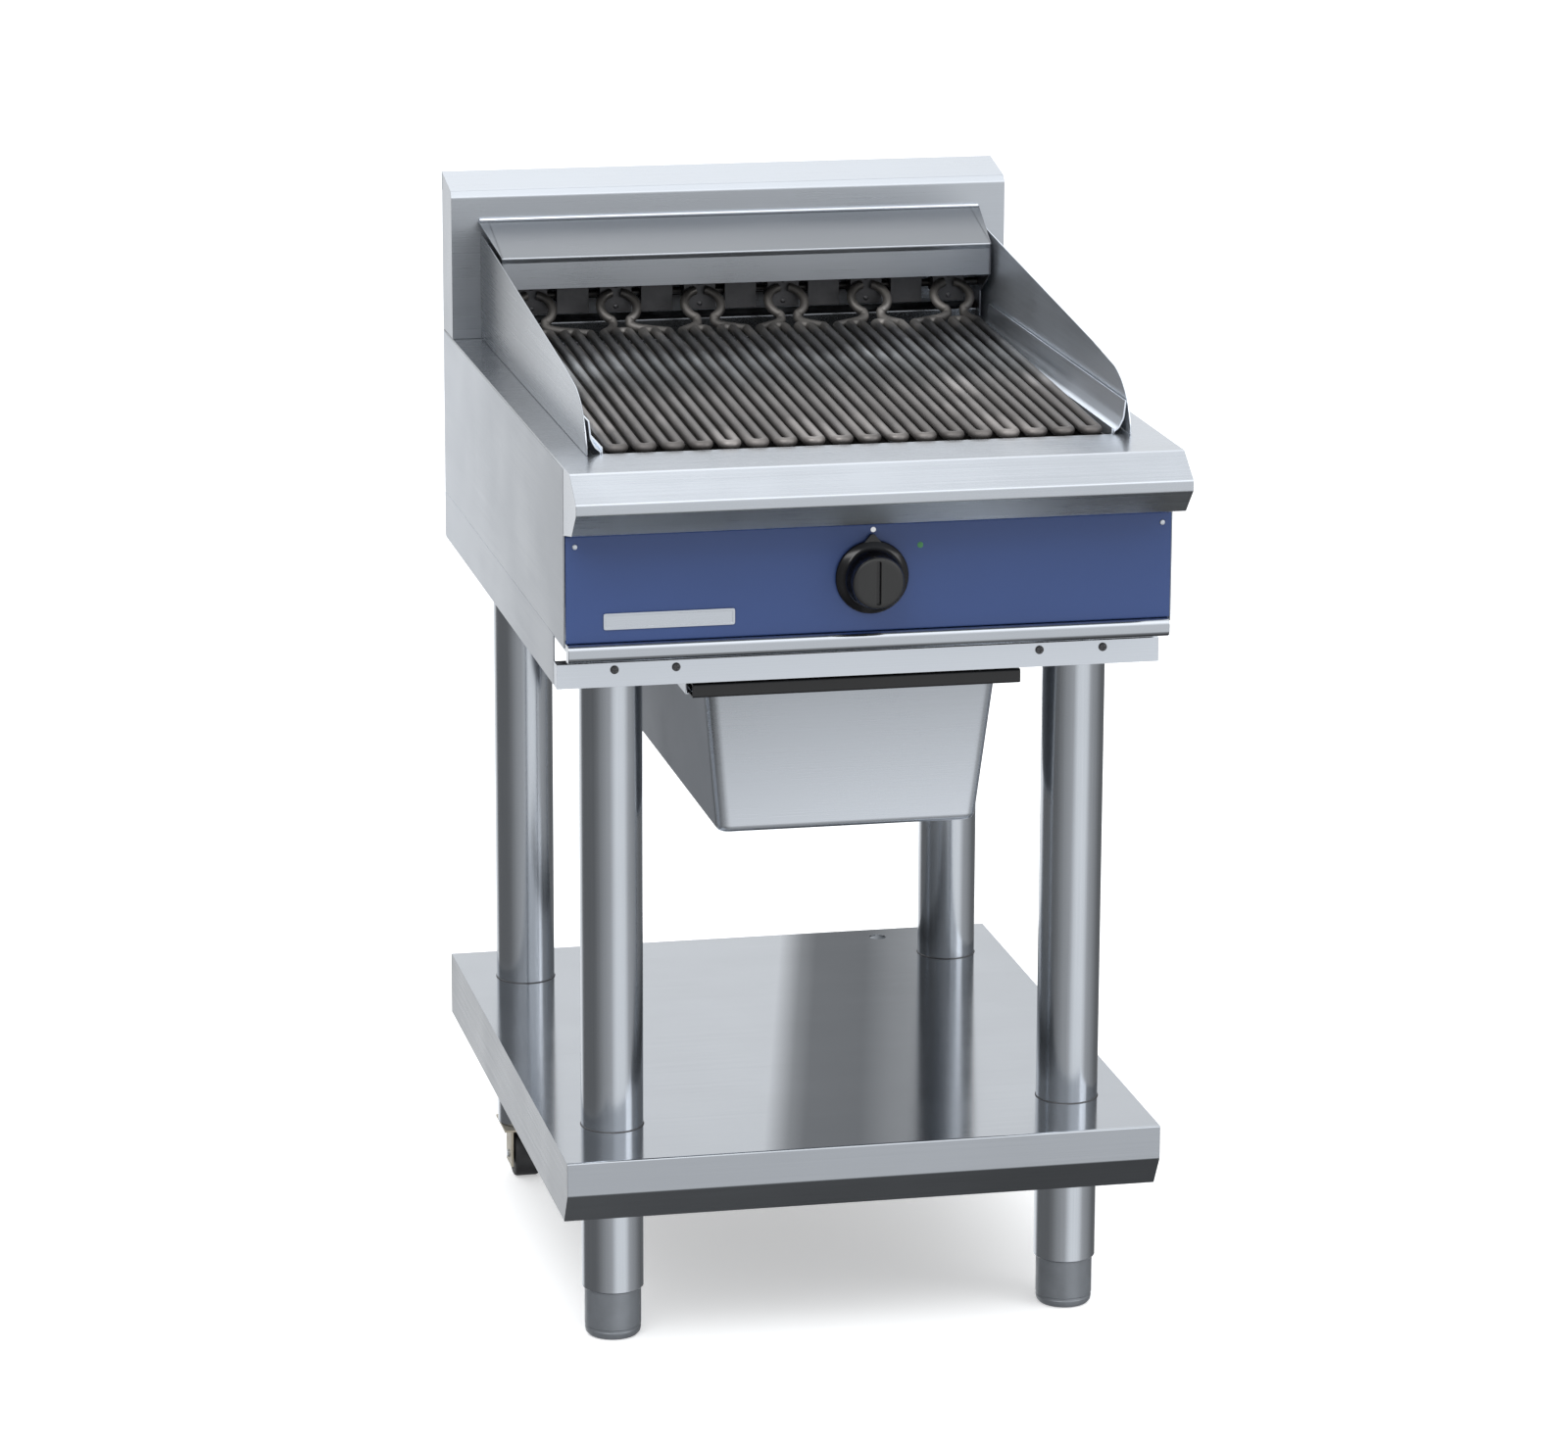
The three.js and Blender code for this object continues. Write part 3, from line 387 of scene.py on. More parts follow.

# Darker towards the rear left, where the hob mirrors the guard: painted reflection and shade
HOB_STEEL = brushed("steel_hob", 0.55, roughness=0.27,
                    painted_shade=((-1, 1, 0), -0.1, 0.2, [(0, 1), (0.2, 1), (0.5, 0.6), (1, 0.55)]))
# A lighter copy of the hob steel for the nose's undercut: painted light
NOSE_UNDER_LIT_STEEL = brushed("steel_nose_under_lit_copy", 0.92, roughness=0.3)
BODY_STEEL = brushed("steel_body", 0.7, roughness=0.34)
# Darker towards the front of the side panels and skirts: painted reflection
SIDE_STEEL = brushed("steel_side", 0.66, grain="Y", roughness=0.36,
                     painted_shade=((0, 1, 0), -0.4, 0.35, [(0, 0.6), (0.5, 0.78), (1, 1)]))
SPLASH_STEEL = brushed("steel_splash", 0.5, roughness=0.3)
HOOD_STEEL = brushed("steel_hood", 0.46, roughness=0.3)
# A darker copy of the hood steel for the roof's upward faces: painted shade
HOOD_ROOF_SHADED_STEEL = brushed("steel_hood_roof_shaded_copy", 0.2, roughness=0.32)
# Darker towards the rear of the left guard and the sill's face: painted shade
GUARD_STEEL = brushed("steel_guard", 0.5, grain="Y", roughness=0.28,
                      painted_shade=((0, 1, 0), -0.15, 0.3, [(0, 1), (1, 0.42)]))
# A lighter copy of the guard steel for the right guard: painted light
RIGHT_GUARD_LIT_STEEL = brushed("steel_guard_right_lit_copy", 0.8, grain="Y", roughness=0.44)

# Across the shelf, at right angles to the way the rear right leg mirrors in it
SHELF_ACROSS = (0.973, -0.2315, 0)
# A painted reflection: a darker band on it, given as share of the way across and share of the
# steel's tone there
SHELF_PAINTED_REFLECTION = [(0, 1), (0.17, 1), (0.26, 0.58), (0.32, 0.47), (0.52, 0.46), (0.62, 0.56),
              (0.72, 0.62), (0.88, 0.75), (0.96, 1)]
SHELF_STEEL = smeared(brushed("steel_shelf", 0.42, roughness=0.14, cloud=0.02,
                              painted_shade=(SHELF_ACROSS, -0.07, 0.2, SHELF_PAINTED_REFLECTION),
                              painted_shade_in_reflection=True), 0.8)
SHELF_END_STEEL = brushed("steel_shelf_end", 0.32, grain="Y", roughness=0.3)
SHELF_FACE_STEEL = brushed("steel_shelf_face", 0.42, roughness=0.2)
LEG_STEEL = brushed("steel_leg", 0.62, grain="Z", roughness=0.2, cloud=0.03)
PAN_STEEL = brushed("steel_pan", 0.8, roughness=0.3, streak=0.03)
# A darker copy of the pan steel with dimmed reflection, for the pan's sides: painted shade
PAN_SIDE_SHADED_STEEL = brushed("steel_pan_side_shaded_copy", 0.3, roughness=0.4, streak=0.03)
PAN_SIDE_SHADED_STEEL.node_tree.nodes["Principled BSDF"].inputs["Specular Tint"].default_value = (
    0.6, 0.61, 0.63, 1)
TRIM_STEEL = brushed("steel_trim", 0.5, roughness=0.12, cloud=0.03, streak=0.03)
GUTTER_STEEL = brushed("steel_gutter", 0.88, grain="Y", roughness=0.36)
DARK_STEEL = rubbed("steel_heat_darkened", (0.075, 0.072, 0.07), 0.9, 0.42, spread=0.3)
# Near-black steel for the sill's top, which lies in shade under the hood: painted shade
SILL_TOP_SHADE_STEEL = rubbed("steel_sill_top_shade", (0.012, 0.012, 0.013), 0.6, 0.6, spread=0.3)
CLAMP_STEEL = rubbed("steel_clamp", (0.11, 0.11, 0.115), 0.8, 0.45, spread=0.25)
ZINC = rubbed("zinc_plate", (0.45, 0.41, 0.33), 0.8, 0.4, spread=0.15, scale=60)
SHEATH = heat_stain_and_painted_light_sheath()
BLUE_PAINT = painted("blue_enamel", (0.016, 0.042, 0.145), 0.45, 900, 0.08)
BLACK_GLOSS = painted("black_moulding", (0.003, 0.003, 0.004), 0.2, 700, 0.05, coat=0.1)
BLACK_ENAMEL = painted("black_enamel", (0.006, 0.006, 0.007), 0.35, 600, 0.1)
KNOB_FACE = painted("knob_face_moulding", (0.012, 0.012, 0.012), 0.45, 900, 0.15)
CERAMIC = painted("steatite", (0.72, 0.68, 0.58), 0.7, 400, 0.2)
FOOT_GREY = rubbed("foot_grey", (0.2, 0.215, 0.235), 0.5, 0.38, spread=0.1)
RUBBER = rubbed("wheel_rubber", (0.02, 0.02, 0.022), 0, 0.55, spread=0.25, scale=80)
BADGE_SILVER = brushed("steel_badge", 0.6, roughness=0.3)
WHITE_PRINT = painted("white_print", (0.85, 0.85, 0.85), 0.5, 600, 0.05)
GREEN_PRINT = painted("green_print", (0.03, 0.16, 0.05), 0.5, 600, 0.05)


# ---- Outlines ----

def arc(centre, radius, start, end, steps):
    """Points round a centre, from one angle to another in degrees."""
    angles = [math.radians(start + (end - start) * step / steps) for step in range(steps + 1)]
    return [(centre[0] + radius * math.cos(a), centre[1] + radius * math.sin(a)) for a in angles]


def curved(start, corner, end, steps):
    """Points from start to end on a curve drawn towards the corner."""
    points = []
    for step in range(steps + 1):
        t = step / steps
        points.append(tuple(start * (1 - t) ** 2 + corner * (2 * t * (1 - t)) + end * t ** 2))
    return points


def rounded(points, radius, steps=6, closed=False):
    """A line with its corners rounded. radius is one number, or one for each point."""
    count = len(points)
    radii = radius if isinstance(radius, (list, tuple)) else [radius] * count
    result = []
    for index, point in enumerate(points):
        corner = Vector(point)
        if radii[index] == 0 or (not closed and index in (0, count - 1)):
            result.append(tuple(corner))
            continue
        before = Vector(points[index - 1]) - corner
        after = Vector(points[(index + 1) % count]) - corner
        turn = math.pi - before.angle(after)
        reach = min(radii[index] * math.tan(turn / 2), before.length * 0.48, after.length * 0.48)
        start = corner + before.normalized() * reach
        end = corner + after.normalized() * reach
        result += curved(start, corner, end, steps)
    return result


def beside(points, distance):
    """A line moved sideways, to the left of its direction of travel."""
    result = []
    for index, point in enumerate(points):
        here = Vector(point)
        normals = []
        for first, second in ((index - 1, index), (index, index + 1)):
            if first < 0 or second >= len(points):
                continue
            run = (Vector(points[second]) - Vector(points[first])).normalized()
            normals.append(Vector((-run.y, run.x)))
        normal = sum(normals, Vector((0, 0))).normalized()
        result.append(tuple(here + normal * (distance / max(normal.dot(normals[0]), 0.2))))
    return result


def folded(points, thickness=SHEET):
    """Closed outline of a folded sheet, to the left of the points, or the right if negative."""
    return list(points) + beside(points, thickness)[::-1]


def rectangle(u0, u1, v0, v1, radius=0.0, steps=6):
    corners = [(u0, v0), (u1, v0), (u1, v1), (u0, v1)]
    return rounded(corners, radius, steps, closed=True) if radius else corners


# ---- Shapes: lists of vertices and faces, in millimetres ----

AXIS_ORDER = {
    "X": lambda u, v, w: (w, u, v),
    "Y": lambda u, v, w: (u, w, v),
    "Z": lambda u, v, w: (u, v, w)}


def bridged(rings, cap=True, loop=False):
    """Rings of points joined one to the next, with flat ends or back to the first ring."""
    size = len(rings[0])
    vertices = [point for ring in rings for point in ring]
    faces = []
    pairs = list(zip(range(len(rings) - 1), range(1, len(rings))))
    if loop:
        pairs.append((len(rings) - 1, 0))
    for low, high in pairs:
        for index in range(size):
            following = (index + 1) % size
            faces.append([low * size + index, low * size + following,
                          high * size + following, high * size + index])
    if cap and not loop:
        faces.append(list(range(size))[::-1])
        faces.append([(len(rings) - 1) * size + index for index in range(size)])
    return vertices, faces


def prism(outline, low, high, axis):
    """An outline carried along an axis: (y, z) along X, (x, z) along Y or (x, y) along Z."""
    order = AXIS_ORDER[axis]
    return bridged([[order(u, v, w) for u, v in outline] for w in (low, high)])


def turned(profile, axis, centre, segments, ring=False):
    """A profile of (radius, height) turned round an axis. A ring's profile closes on itself."""
    order = AXIS_ORDER[axis]
    rings = []
    for radius, height in profile:
        circle = []
        for segment in range(segments):
            angle = 2 * math.pi * segment / segments
            place = order(radius * math.cos(angle), radius * math.sin(angle), height)
            circle.append(tuple(a + b for a, b in zip(place, centre)))
        rings.append(circle)
    return bridged(rings, cap=not ring, loop=ring)


def drill(radius, low, high, axis, centre, segments=32):
    """A rod that cuts a round hole."""
    return turned([(radius, low), (radius, high)], axis, centre, segments)


def joined(*shapes):
    vertices, faces = [], []
    for more_vertices, more_faces in shapes:
        start = len(vertices)
        vertices += more_vertices
        faces += [[start + index for index in face] for face in more_faces]
    return vertices, faces


def end_plates(outline, low, high):
    """A plate of sheet across each end of a folded sheet, set in slightly."""
    spans = ((low.x + END_INSET, low.x + END_INSET + SHEET),
             (high.x - END_INSET - SHEET, high.x - END_INSET))
    return [prism(outline, *span, "X") for span in spans]


def mirrored(shape):
    return [(-x, y, z) for x, y, z in shape[0]], shape[1]


def cleaned_mesh(name, shape, scale=1.0):
    mesh = bpy.data.meshes.new(name)
    mesh.from_pydata([Vector(point) * scale for point in shape[0]], [], shape[1])
    model = bmesh.new()
    model.from_mesh(mesh)
    bmesh.ops.remove_doubles(model, verts=model.verts, dist=0.004 * scale)
    bmesh.ops.recalc_face_normals(model, faces=model.faces)
    model.to_mesh(mesh)
    model.free()
    return mesh


def carved(shape, *tools):
    """The shape with each tool's shape cut out of it."""
    stock = add_object("stock", cleaned_mesh("stock", shape))
    cutters = []
    for tool in tools:
        cutter = add_object("cutter", cleaned_mesh("cutter", tool))
        cutters.append(cutter)
        modifier = stock.modifiers.new("cut", "BOOLEAN")
        modifier.operation = "DIFFERENCE"
        modifier.solver = "EXACT"
        modifier.object = cutter
    evaluated = stock.evaluated_get(bpy.context.evaluated_depsgraph_get())
    mesh = bpy.data.meshes.new_from_object(evaluated)
    result = ([tuple(vertex.co) for vertex in mesh.vertices],
              [list(polygon.vertices) for polygon in mesh.polygons])
    for thing in [stock, *cutters]:
        bpy.data.objects.remove(thing)
    bpy.data.meshes.remove(mesh)
    return result


# ---- Pieces ----

def box(node):
    """A CAD node's lowest and highest corner, in millimetres."""
    low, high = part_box(node)
    return low / MM, high / MM


def centre_of(node):
    low, high = box(node)
    return (low + high) / 2


def body_with(node):
    return body_of(frame["nodes"][node])[0]


def lay_grain_map(mesh, smear):
    """A UV map whose U runs along the axis that reflections are drawn out along."""
    layer = mesh.uv_layers.new(name=GRAIN_MAP)
    for polygon in mesh.polygons:
        facing = max(range(3), key=lambda axis: abs(polygon.normal[axis]))
        in_face = sorted((axis for axis in range(3) if axis != facing),
                         key=lambda axis: axis != "XYZ".index(smear))
        for corner in polygon.loop_indices:
            spot = mesh.vertices[mesh.loops[corner].vertex_index].co
            layer.data[corner].uv = [spot[axis] for axis in in_face]


def face_material(obj, material, chosen):
    """Another material for the faces that chosen(normal) picks."""
    index = len(obj.data.materials)
    obj.data.materials.append(material)
    for polygon in obj.data.polygons:
        if chosen(polygon.normal):
            polygon.material_index = index


def dress(obj, material, body, nodes, edge, edge_angle):
    """Material, rounded edges and clean shading for a mesh, and its place in the frame."""
    mesh = obj.data
    mesh.materials.clear()
    mesh.materials.append(material)
    model = bmesh.new()
    model.from_mesh(mesh)
    for face in model.faces:
        face.smooth = True
    if not edge:
        for line in model.edges:
            line.smooth = line.calc_face_angle(0) < math.radians(edge_angle)
    model.to_mesh(mesh)
    model.free()
    if edge:
        bevel = obj.modifiers.new("rounded_edges", "BEVEL")
        bevel.width = edge * MM
        bevel.segments = 2
        bevel.limit_method = "ANGLE"
        bevel.angle_limit = math.radians(edge_angle)
        shading = obj.modifiers.new("clean_shading", "WEIGHTED_NORMAL")
        shading.weight = 80
        shading.keep_sharp = True
    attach(obj, body)
    if nodes:
        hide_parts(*nodes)
    return obj


def piece(name, shape, material, nodes=(), body=STAND, edge=0, edge_angle=35):
    """A piece built here from a shape. nodes are the CAD nodes that it stands for."""
    obj = add_object(name, cleaned_mesh(name, shape, MM))
    if nodes:
        body = body_with(nodes[0])
    return dress(obj, material, body, nodes, edge, edge_angle)


def refined(node, material, edge=0.4, edge_angle=30):
    """A CAD node's own shape with its flat faces made whole and its edges rounded."""
    mesh = frame["nodes"][node].data.copy()
    model = bmesh.new()
    model.from_mesh(mesh)
    bmesh.ops.remove_doubles(model, verts=model.verts, dist=1e-5)
    flat = math.radians(0.5)
    bmesh.ops.dissolve_limit(model, angle_limit=flat, verts=model.verts, edges=model.edges)
    model.to_mesh(mesh)
    model.free()
    obj = add_object(f"{node}_finished", mesh)
    dress(obj, material, body_with(node), [node], edge, edge_angle)


# ---- Hob top ----

def hob_top():
    low, high = box("hob_top")
    panel_low, panel_high = box("control_panel")
    liner_low, liner_high = box("well_liner")
    thickness = 2.0
    nose_depth, nose_drop, nose_lip = 35, 23, 10
    undercut, return_rise = 25, 9
    flat_y = low.y + nose_depth
    lip_z = high.z - nose_drop
    line = rounded([
        (high.y, high.z), (flat_y, high.z), (low.y, lip_z), (low.y, lip_z - nose_lip),
        (low.y + undercut, panel_high.z + return_rise), (panel_low.y + SHEET, low.z)],
        [0, 9, 3.5, 3, 4, 0])
    skin = prism(folded(line, thickness), low.x, high.x, "X")
    inside = beside(line, thickness / 2)[1:] + [(panel_low.y + SHEET, high.z - thickness / 2)]
    margin, front_gap, rear_gap, corner = 38, 0.5, 2.5, 3
    mouth = rectangle(low.x + margin, high.x - margin, liner_low.y - front_gap,
                      liner_high.y + rear_gap, corner)
    plate = carved(skin, prism(mouth, high.z - CUT_REACH, high.z + CUT_REACH, "Z"))
    sheet = piece("hob_top_sheet", joined(plate, *end_plates(inside, low, high)), HOB_STEEL,
                  ["hob_top"], edge=0.4, edge_angle=40)
    # The nose's downward faces get the lighter copy: painted light
    face_material(sheet, NOSE_UNDER_LIT_STEEL, lambda normal: normal.z < -0.2 and normal.y < -0.3)


# ---- Splashback and hood ----

def splashback():
    low, high = box("splashback")
    front_drop, corner_drop, corner_depth, rear_lip, foot_gap = 19, 12.5, 6, 20, 0.3
    line = rounded([
        (low.y, low.z), (low.y, high.z - front_drop), (low.y + corner_depth, high.z - corner_drop),
        (high.y, high.z), (high.y, high.z - rear_lip)], [0, 4, 4, 2.5, 0])
    skin = prism(folded(line, -SHEET), low.x, high.x, "X")
    inside = beside(line, -SHEET / 2) + [(high.y - SHEET / 2, low.z + foot_gap)]
    piece("splashback_sheet", joined(skin, *end_plates(inside, low, high)), SPLASH_STEEL,
          ["splashback"], edge=0.35, edge_angle=40)


def element_hood():
    low, high = box("element_hood")
    rod = centre_of("hinge_rod")
    flare, roof_fall, strip_height, lip_drop = 10, 25, 34, 6
    front_half = high.x - flare
    fold_z = high.z - roof_fall
    strip_y = low.y + SHEET
    strip_z = fold_z - strip_height
    line = rounded([(high.y, high.z), (low.y, fold_z), (strip_y, fold_z - lip_drop),
                    (strip_y, strip_z)], [0, 2.5, 2.5, 0])
    skin = prism(folded(line), low.x, high.x, "X")
    cheek_setback, notch_drop = 14, 24
    back_y = rod.y - cheek_setback
    cheek = line + [(back_y, strip_z - notch_drop), (back_y, low.z), (high.y, low.z)]
    cheeks = [prism(cheek, *span, "X") for span in (
        (-front_half, SHEET - front_half), (front_half - SHEET, front_half))]
    past, wide = 1, 5
    corner = [(front_half, low.y - past), (high.x, high.y + past), (high.x + wide, high.y + past),
              (high.x + wide, low.y - past)]
    wedge = prism(corner, low.z, high.z + CUT_REACH, "Z")
    hole = drill(ROD_BORE, -high.x - CUT_REACH, high.x + CUT_REACH, "X", (0, rod.y, rod.z))
    roof = carved(skin, wedge, mirrored(wedge))
    sides = [carved(side, hole) for side in cheeks]
    hood = piece("element_hood_sheet", joined(roof, *sides), HOOD_STEEL,
                 ["element_hood"], edge=0.3, edge_angle=40)
    # The roof's upward faces get the darker copy: painted shade
    face_material(hood, HOOD_ROOF_SHADED_STEEL, lambda normal: normal.z > 0.8)

    radius, proud = 2.2, 0.6
    right = [(radius, high.x - 3), (radius * 0.7, high.x - 1.4), (0, high.x - 1)]
    left = [(r, -x) for r, x in right[::-1]]
    bead = turned(left + right, "X", (0, high.y - radius, high.z + proud), 20)
    piece("hood_rear_bead", bead, BODY_STEEL)


def rear_sill():
    low, high = box("rear_sill")
    line = rounded([(low.y, low.z), (low.y, high.z), (high.y, high.z)], [0, 3, 0])
    sill = piece("rear_sill_sheet", prism(folded(line, -SHEET), low.x, high.x, "X"),
                 GUARD_STEEL, ["rear_sill"], edge=0.3)
    # The sill's top gets the near-black steel: painted shade
    face_material(sill, SILL_TOP_SHADE_STEEL, lambda normal: normal.z > 0.5)


# ---- Side guards and gutters ----

def side_guards():
    for hand, side in HANDS:
        node = f"side_guard_{hand}"
        low, high = box(node)
        foot = Vector((low.y, low.z + 6.7))
        pulled_to = Vector((low.y + 12, low.z + 45.3))
        shoulder = Vector((low.y + 62, low.z + 56.7))
        knee = (low.y + 145, low.z + 66.7)
        line = [(low.y, low.z), *curved(foot, pulled_to, shoulder, steps=14), knee,
                (high.y, high.z), (high.y, low.z)]
        # The right guard takes the lighter copy: painted light
        steel = GUARD_STEEL if side < 0 else RIGHT_GUARD_LIT_STEEL
        piece(f"{node}_sheet", prism(line, low.x, high.x, "X"), steel,
              [node], edge=0.5, edge_angle=50)

        gutter_node = f"gutter_{hand}"
        low, high = box(gutter_node)
        outer = max(abs(low.x), abs(high.x))
        inner = min(abs(low.x), abs(high.x))
        floor_x = outer - 12
        lip_rise = 14
        line = rounded([
            (outer, high.z), (outer - 2, low.z + 23), (outer - 7, low.z + 13),
            (floor_x, low.z + 10), (floor_x, low.z), (inner + SHEET, low.z),
            (inner + SHEET, low.z + lip_rise)], [0, 14, 14, 5, 1.5, 1.5, 0], steps=5)
        line = [(side * u, v) for u, v in line]
        piece(f"{gutter_node}_sheet", prism(folded(line, -side * SHEET), low.y, high.y, "Y"),
              GUTTER_STEEL, [gutter_node], edge=0.3, edge_angle=45)


# ---- Control panel, trim, badge and marks ----

def control_panel():
    low, high = box("control_panel")
    knob_z = centre_of("energy_regulator").z
    line = rounded([(high.y, high.z), (low.y, high.z), (low.y, low.z), (high.y, low.z)],
                   [0, 2.5, 2.5, 0])
    sheet = prism(folded(line), low.x, high.x, "X")
    collar_bore = 5.3
    hole = drill(collar_bore, low.y - CUT_REACH, low.y + CUT_REACH, "Y", (0, 0, knob_z))
    piece("control_panel_sheet", carved(sheet, hole), BLUE_PAINT,
          ["control_panel"], edge=0.3, edge_angle=40)

    dot_thickness = 0.25
    for name, x, z, radius, paint in (
            ("panel_index_mark", 1.5, high.z - 6, 2.6, WHITE_PRINT),
            ("panel_green_mark", 48, high.z - 23, 3, GREEN_PRINT)):
        dot = turned([(0, -dot_thickness), (radius * 0.8, -dot_thickness), (radius, 0), (0, 0)],
                     "Y", (x, low.y, z), 32)
        piece(name, dot, paint)
    side_inset, drop = 9, 11
    for index, x in enumerate((low.x + side_inset, high.x - side_inset)):
        piece(f"panel_screw_{index + 1}", screw_head(x, low.y, high.z - drop, 2.6, 1.0),
              BODY_STEEL, edge_angle=30)


def panel_trim():
    low, high = box("panel_trim")
    radius = 7
    centre_y = low.y + radius
    lower = arc((centre_y, low.z + radius), radius, -90, -180, 12)
    upper = arc((centre_y, high.z - radius), radius, 180, 90, 12)
    line = [(high.y, low.z), *lower, *upper, (high.y, high.z)]
    piece("panel_trim_bar", prism(line, low.x, high.x, "X"), TRIM_STEEL,
          ["panel_trim"], edge=0.5, edge_angle=50)


def badge():
    low, high = box("badge_plate")
    corner, inset, recess_corner, depth = 2.5, 2.2, 1.2, 0.35
    plate = prism(rectangle(low.x, high.x, low.z, high.z, corner), low.y, high.y, "Y")
    hollow = rectangle(low.x + inset, high.x - inset, low.z + inset, high.z - inset,
                       recess_corner)
    recess = prism(hollow, low.y - 1, low.y + depth, "Y")
    piece("badge_blank", carved(plate, recess), BADGE_SILVER, ["badge_plate"],
          edge=0.15, edge_angle=50)


def screw_head(x, y, z, radius, height, sign=-1):
    """A low domed screw head with a cross recess, standing out along Y from a flat face."""
    profile = [(radius, 0), (radius, height * 0.35), (radius * 0.85, height * 0.75),
               (radius * 0.5, height * 0.97), (0, height)]
    dome = turned([(0, 0)] + [(r, sign * h) for r, h in profile], "Y", (x, y, z), 24)
    half = radius * 0.55
    slot = radius * 0.14
    depth = sorted((y + sign * height * 0.45, y + sign * (height + 1)))
    cross = [prism(rectangle(x - u, x + u, z - v, z + v), *depth, "Y")
             for u, v in ((half, slot), (slot, half))]
    return carved(dome, *cross)


SCREW_RADIUS = 4.2
SCREW_HEIGHT = 2.2


def rail_screws():
    low, high = box("front_rail")
    drop = 7
    for index, x in enumerate((-243.6, -183, 179, 243)):
        head = screw_head(x, low.y, high.z - drop, SCREW_RADIUS, SCREW_HEIGHT)
        piece(f"rail_screw_{index + 1}", head, CLAMP_STEEL, edge_angle=30)


def back_screws():
    """Screws along the top and bottom of the rear panel."""
    low, high = box("rear_panel")
    columns = 5
    side_inset, edge_inset = 14, 10
    pitch = (high.x - low.x - 2 * side_inset) / (columns - 1)
    for index in range(columns):
        x = low.x + side_inset + pitch * index
        for level, z in (("upper", high.z - edge_inset), ("lower", low.z + edge_inset)):
            head = screw_head(x, high.y, z, SCREW_RADIUS, SCREW_HEIGHT, 1)
            piece(f"rear_screw_{level}_{index + 1}", head, BODY_STEEL,
                  edge_angle=30)


# ---- Knob ----

def knob():
    low, high = box("knob")
    centre_x = (low.x + high.x) / 2
    skirt = (high.x - low.x) / 2
    knob_z = low.z + skirt
    back = high.y
    front = low.y
    grip = skirt - 10.5
    segments = 96
    body = body_with("knob")
    rim = turned([
        (0, back), (skirt - 0.8, back), (skirt, back - 0.8), (skirt, back - 2.6),
        (skirt - 0.9, back - 4.2), (grip + 5, back - 6.6), (grip + 2.6, back - 8.2),
        (grip + 1.4, back - 10.5), (grip + 0.6, back - 16), (grip + 0.3, front + 4.5),
        (grip - 0.4, front + 2.6), (0, front + 2.6)], "Y", (centre_x, 0, knob_z), segments)
    root_z, root_half, tip_half, pointer_depth = knob_z + 30, 12, 2, 4
    pointer = prism(rounded([
        (centre_x - root_half, root_z), (centre_x + root_half, root_z),
        (centre_x + tip_half, high.z), (centre_x - tip_half, high.z)], 1.5, closed=True),
        back - pointer_depth, back, "Y")
    spindle_bore, face_wall = 3.3, 8.7
    bore = drill(spindle_bore, front + face_wall, back + 1, "Y", (centre_x, 0, knob_z))
    groove_half, groove_reach, groove_depth = 2.2, 21.5, 4.2
    groove = prism(rectangle(centre_x - groove_half, centre_x + groove_half,
                             knob_z - groove_reach, knob_z + groove_reach, 1.6),
                   front - 1, front + groove_depth, "Y")
    piece("knob_body", joined(carved(rim, bore, groove), pointer), BLACK_GLOSS,
          ["knob"], edge=0.4, edge_angle=40)

    face = turned([(0, front + 2.6), (grip - 0.8, front + 2.6), (grip - 0.9, front + 1.4),
                   (grip - 2.4, front + 0.4), (grip - 6, front), (0, front)],
                  "Y", (centre_x, 0, knob_z), segments)
    piece("knob_face", carved(face, groove), KNOB_FACE, body=body,
          edge=0.3, edge_angle=40)

    # A white dot at the top right of the skirt: a painted highlight
    highlight_dot = turned([(0, back - 5.6), (1.7, back - 5.6), (1.7, back - 4.6), (0, back - 4.6)],
                       "Y", (centre_x + 6, 0, root_z), 20)
    piece("knob_painted_highlight", highlight_dot, WHITE_PRINT, body=body)


# ---- Heating elements ----

ELEMENTS = 6
PASSES = 6
TUBE_RADIUS = 4.75
NECK_HALF = 9
RING_RADIUS = 19.5
RING_RISE = 28
RING_LEAN = math.radians(42)
GRID_REAR_GAP = 55
GRID_RISE = 22
BEND_SETBACK = 12


def chaikin(points, rounds):
    """The points of a line with each corner cut, a few times over."""
    for _ in range(rounds):
        smoother = [points[0]]
        for first, second in zip(points, points[1:]):
            smoother.append(first.lerp(second, 0.25))
            smoother.append(first.lerp(second, 0.75))
        smoother.append(points[-1])
        points = smoother
    return points


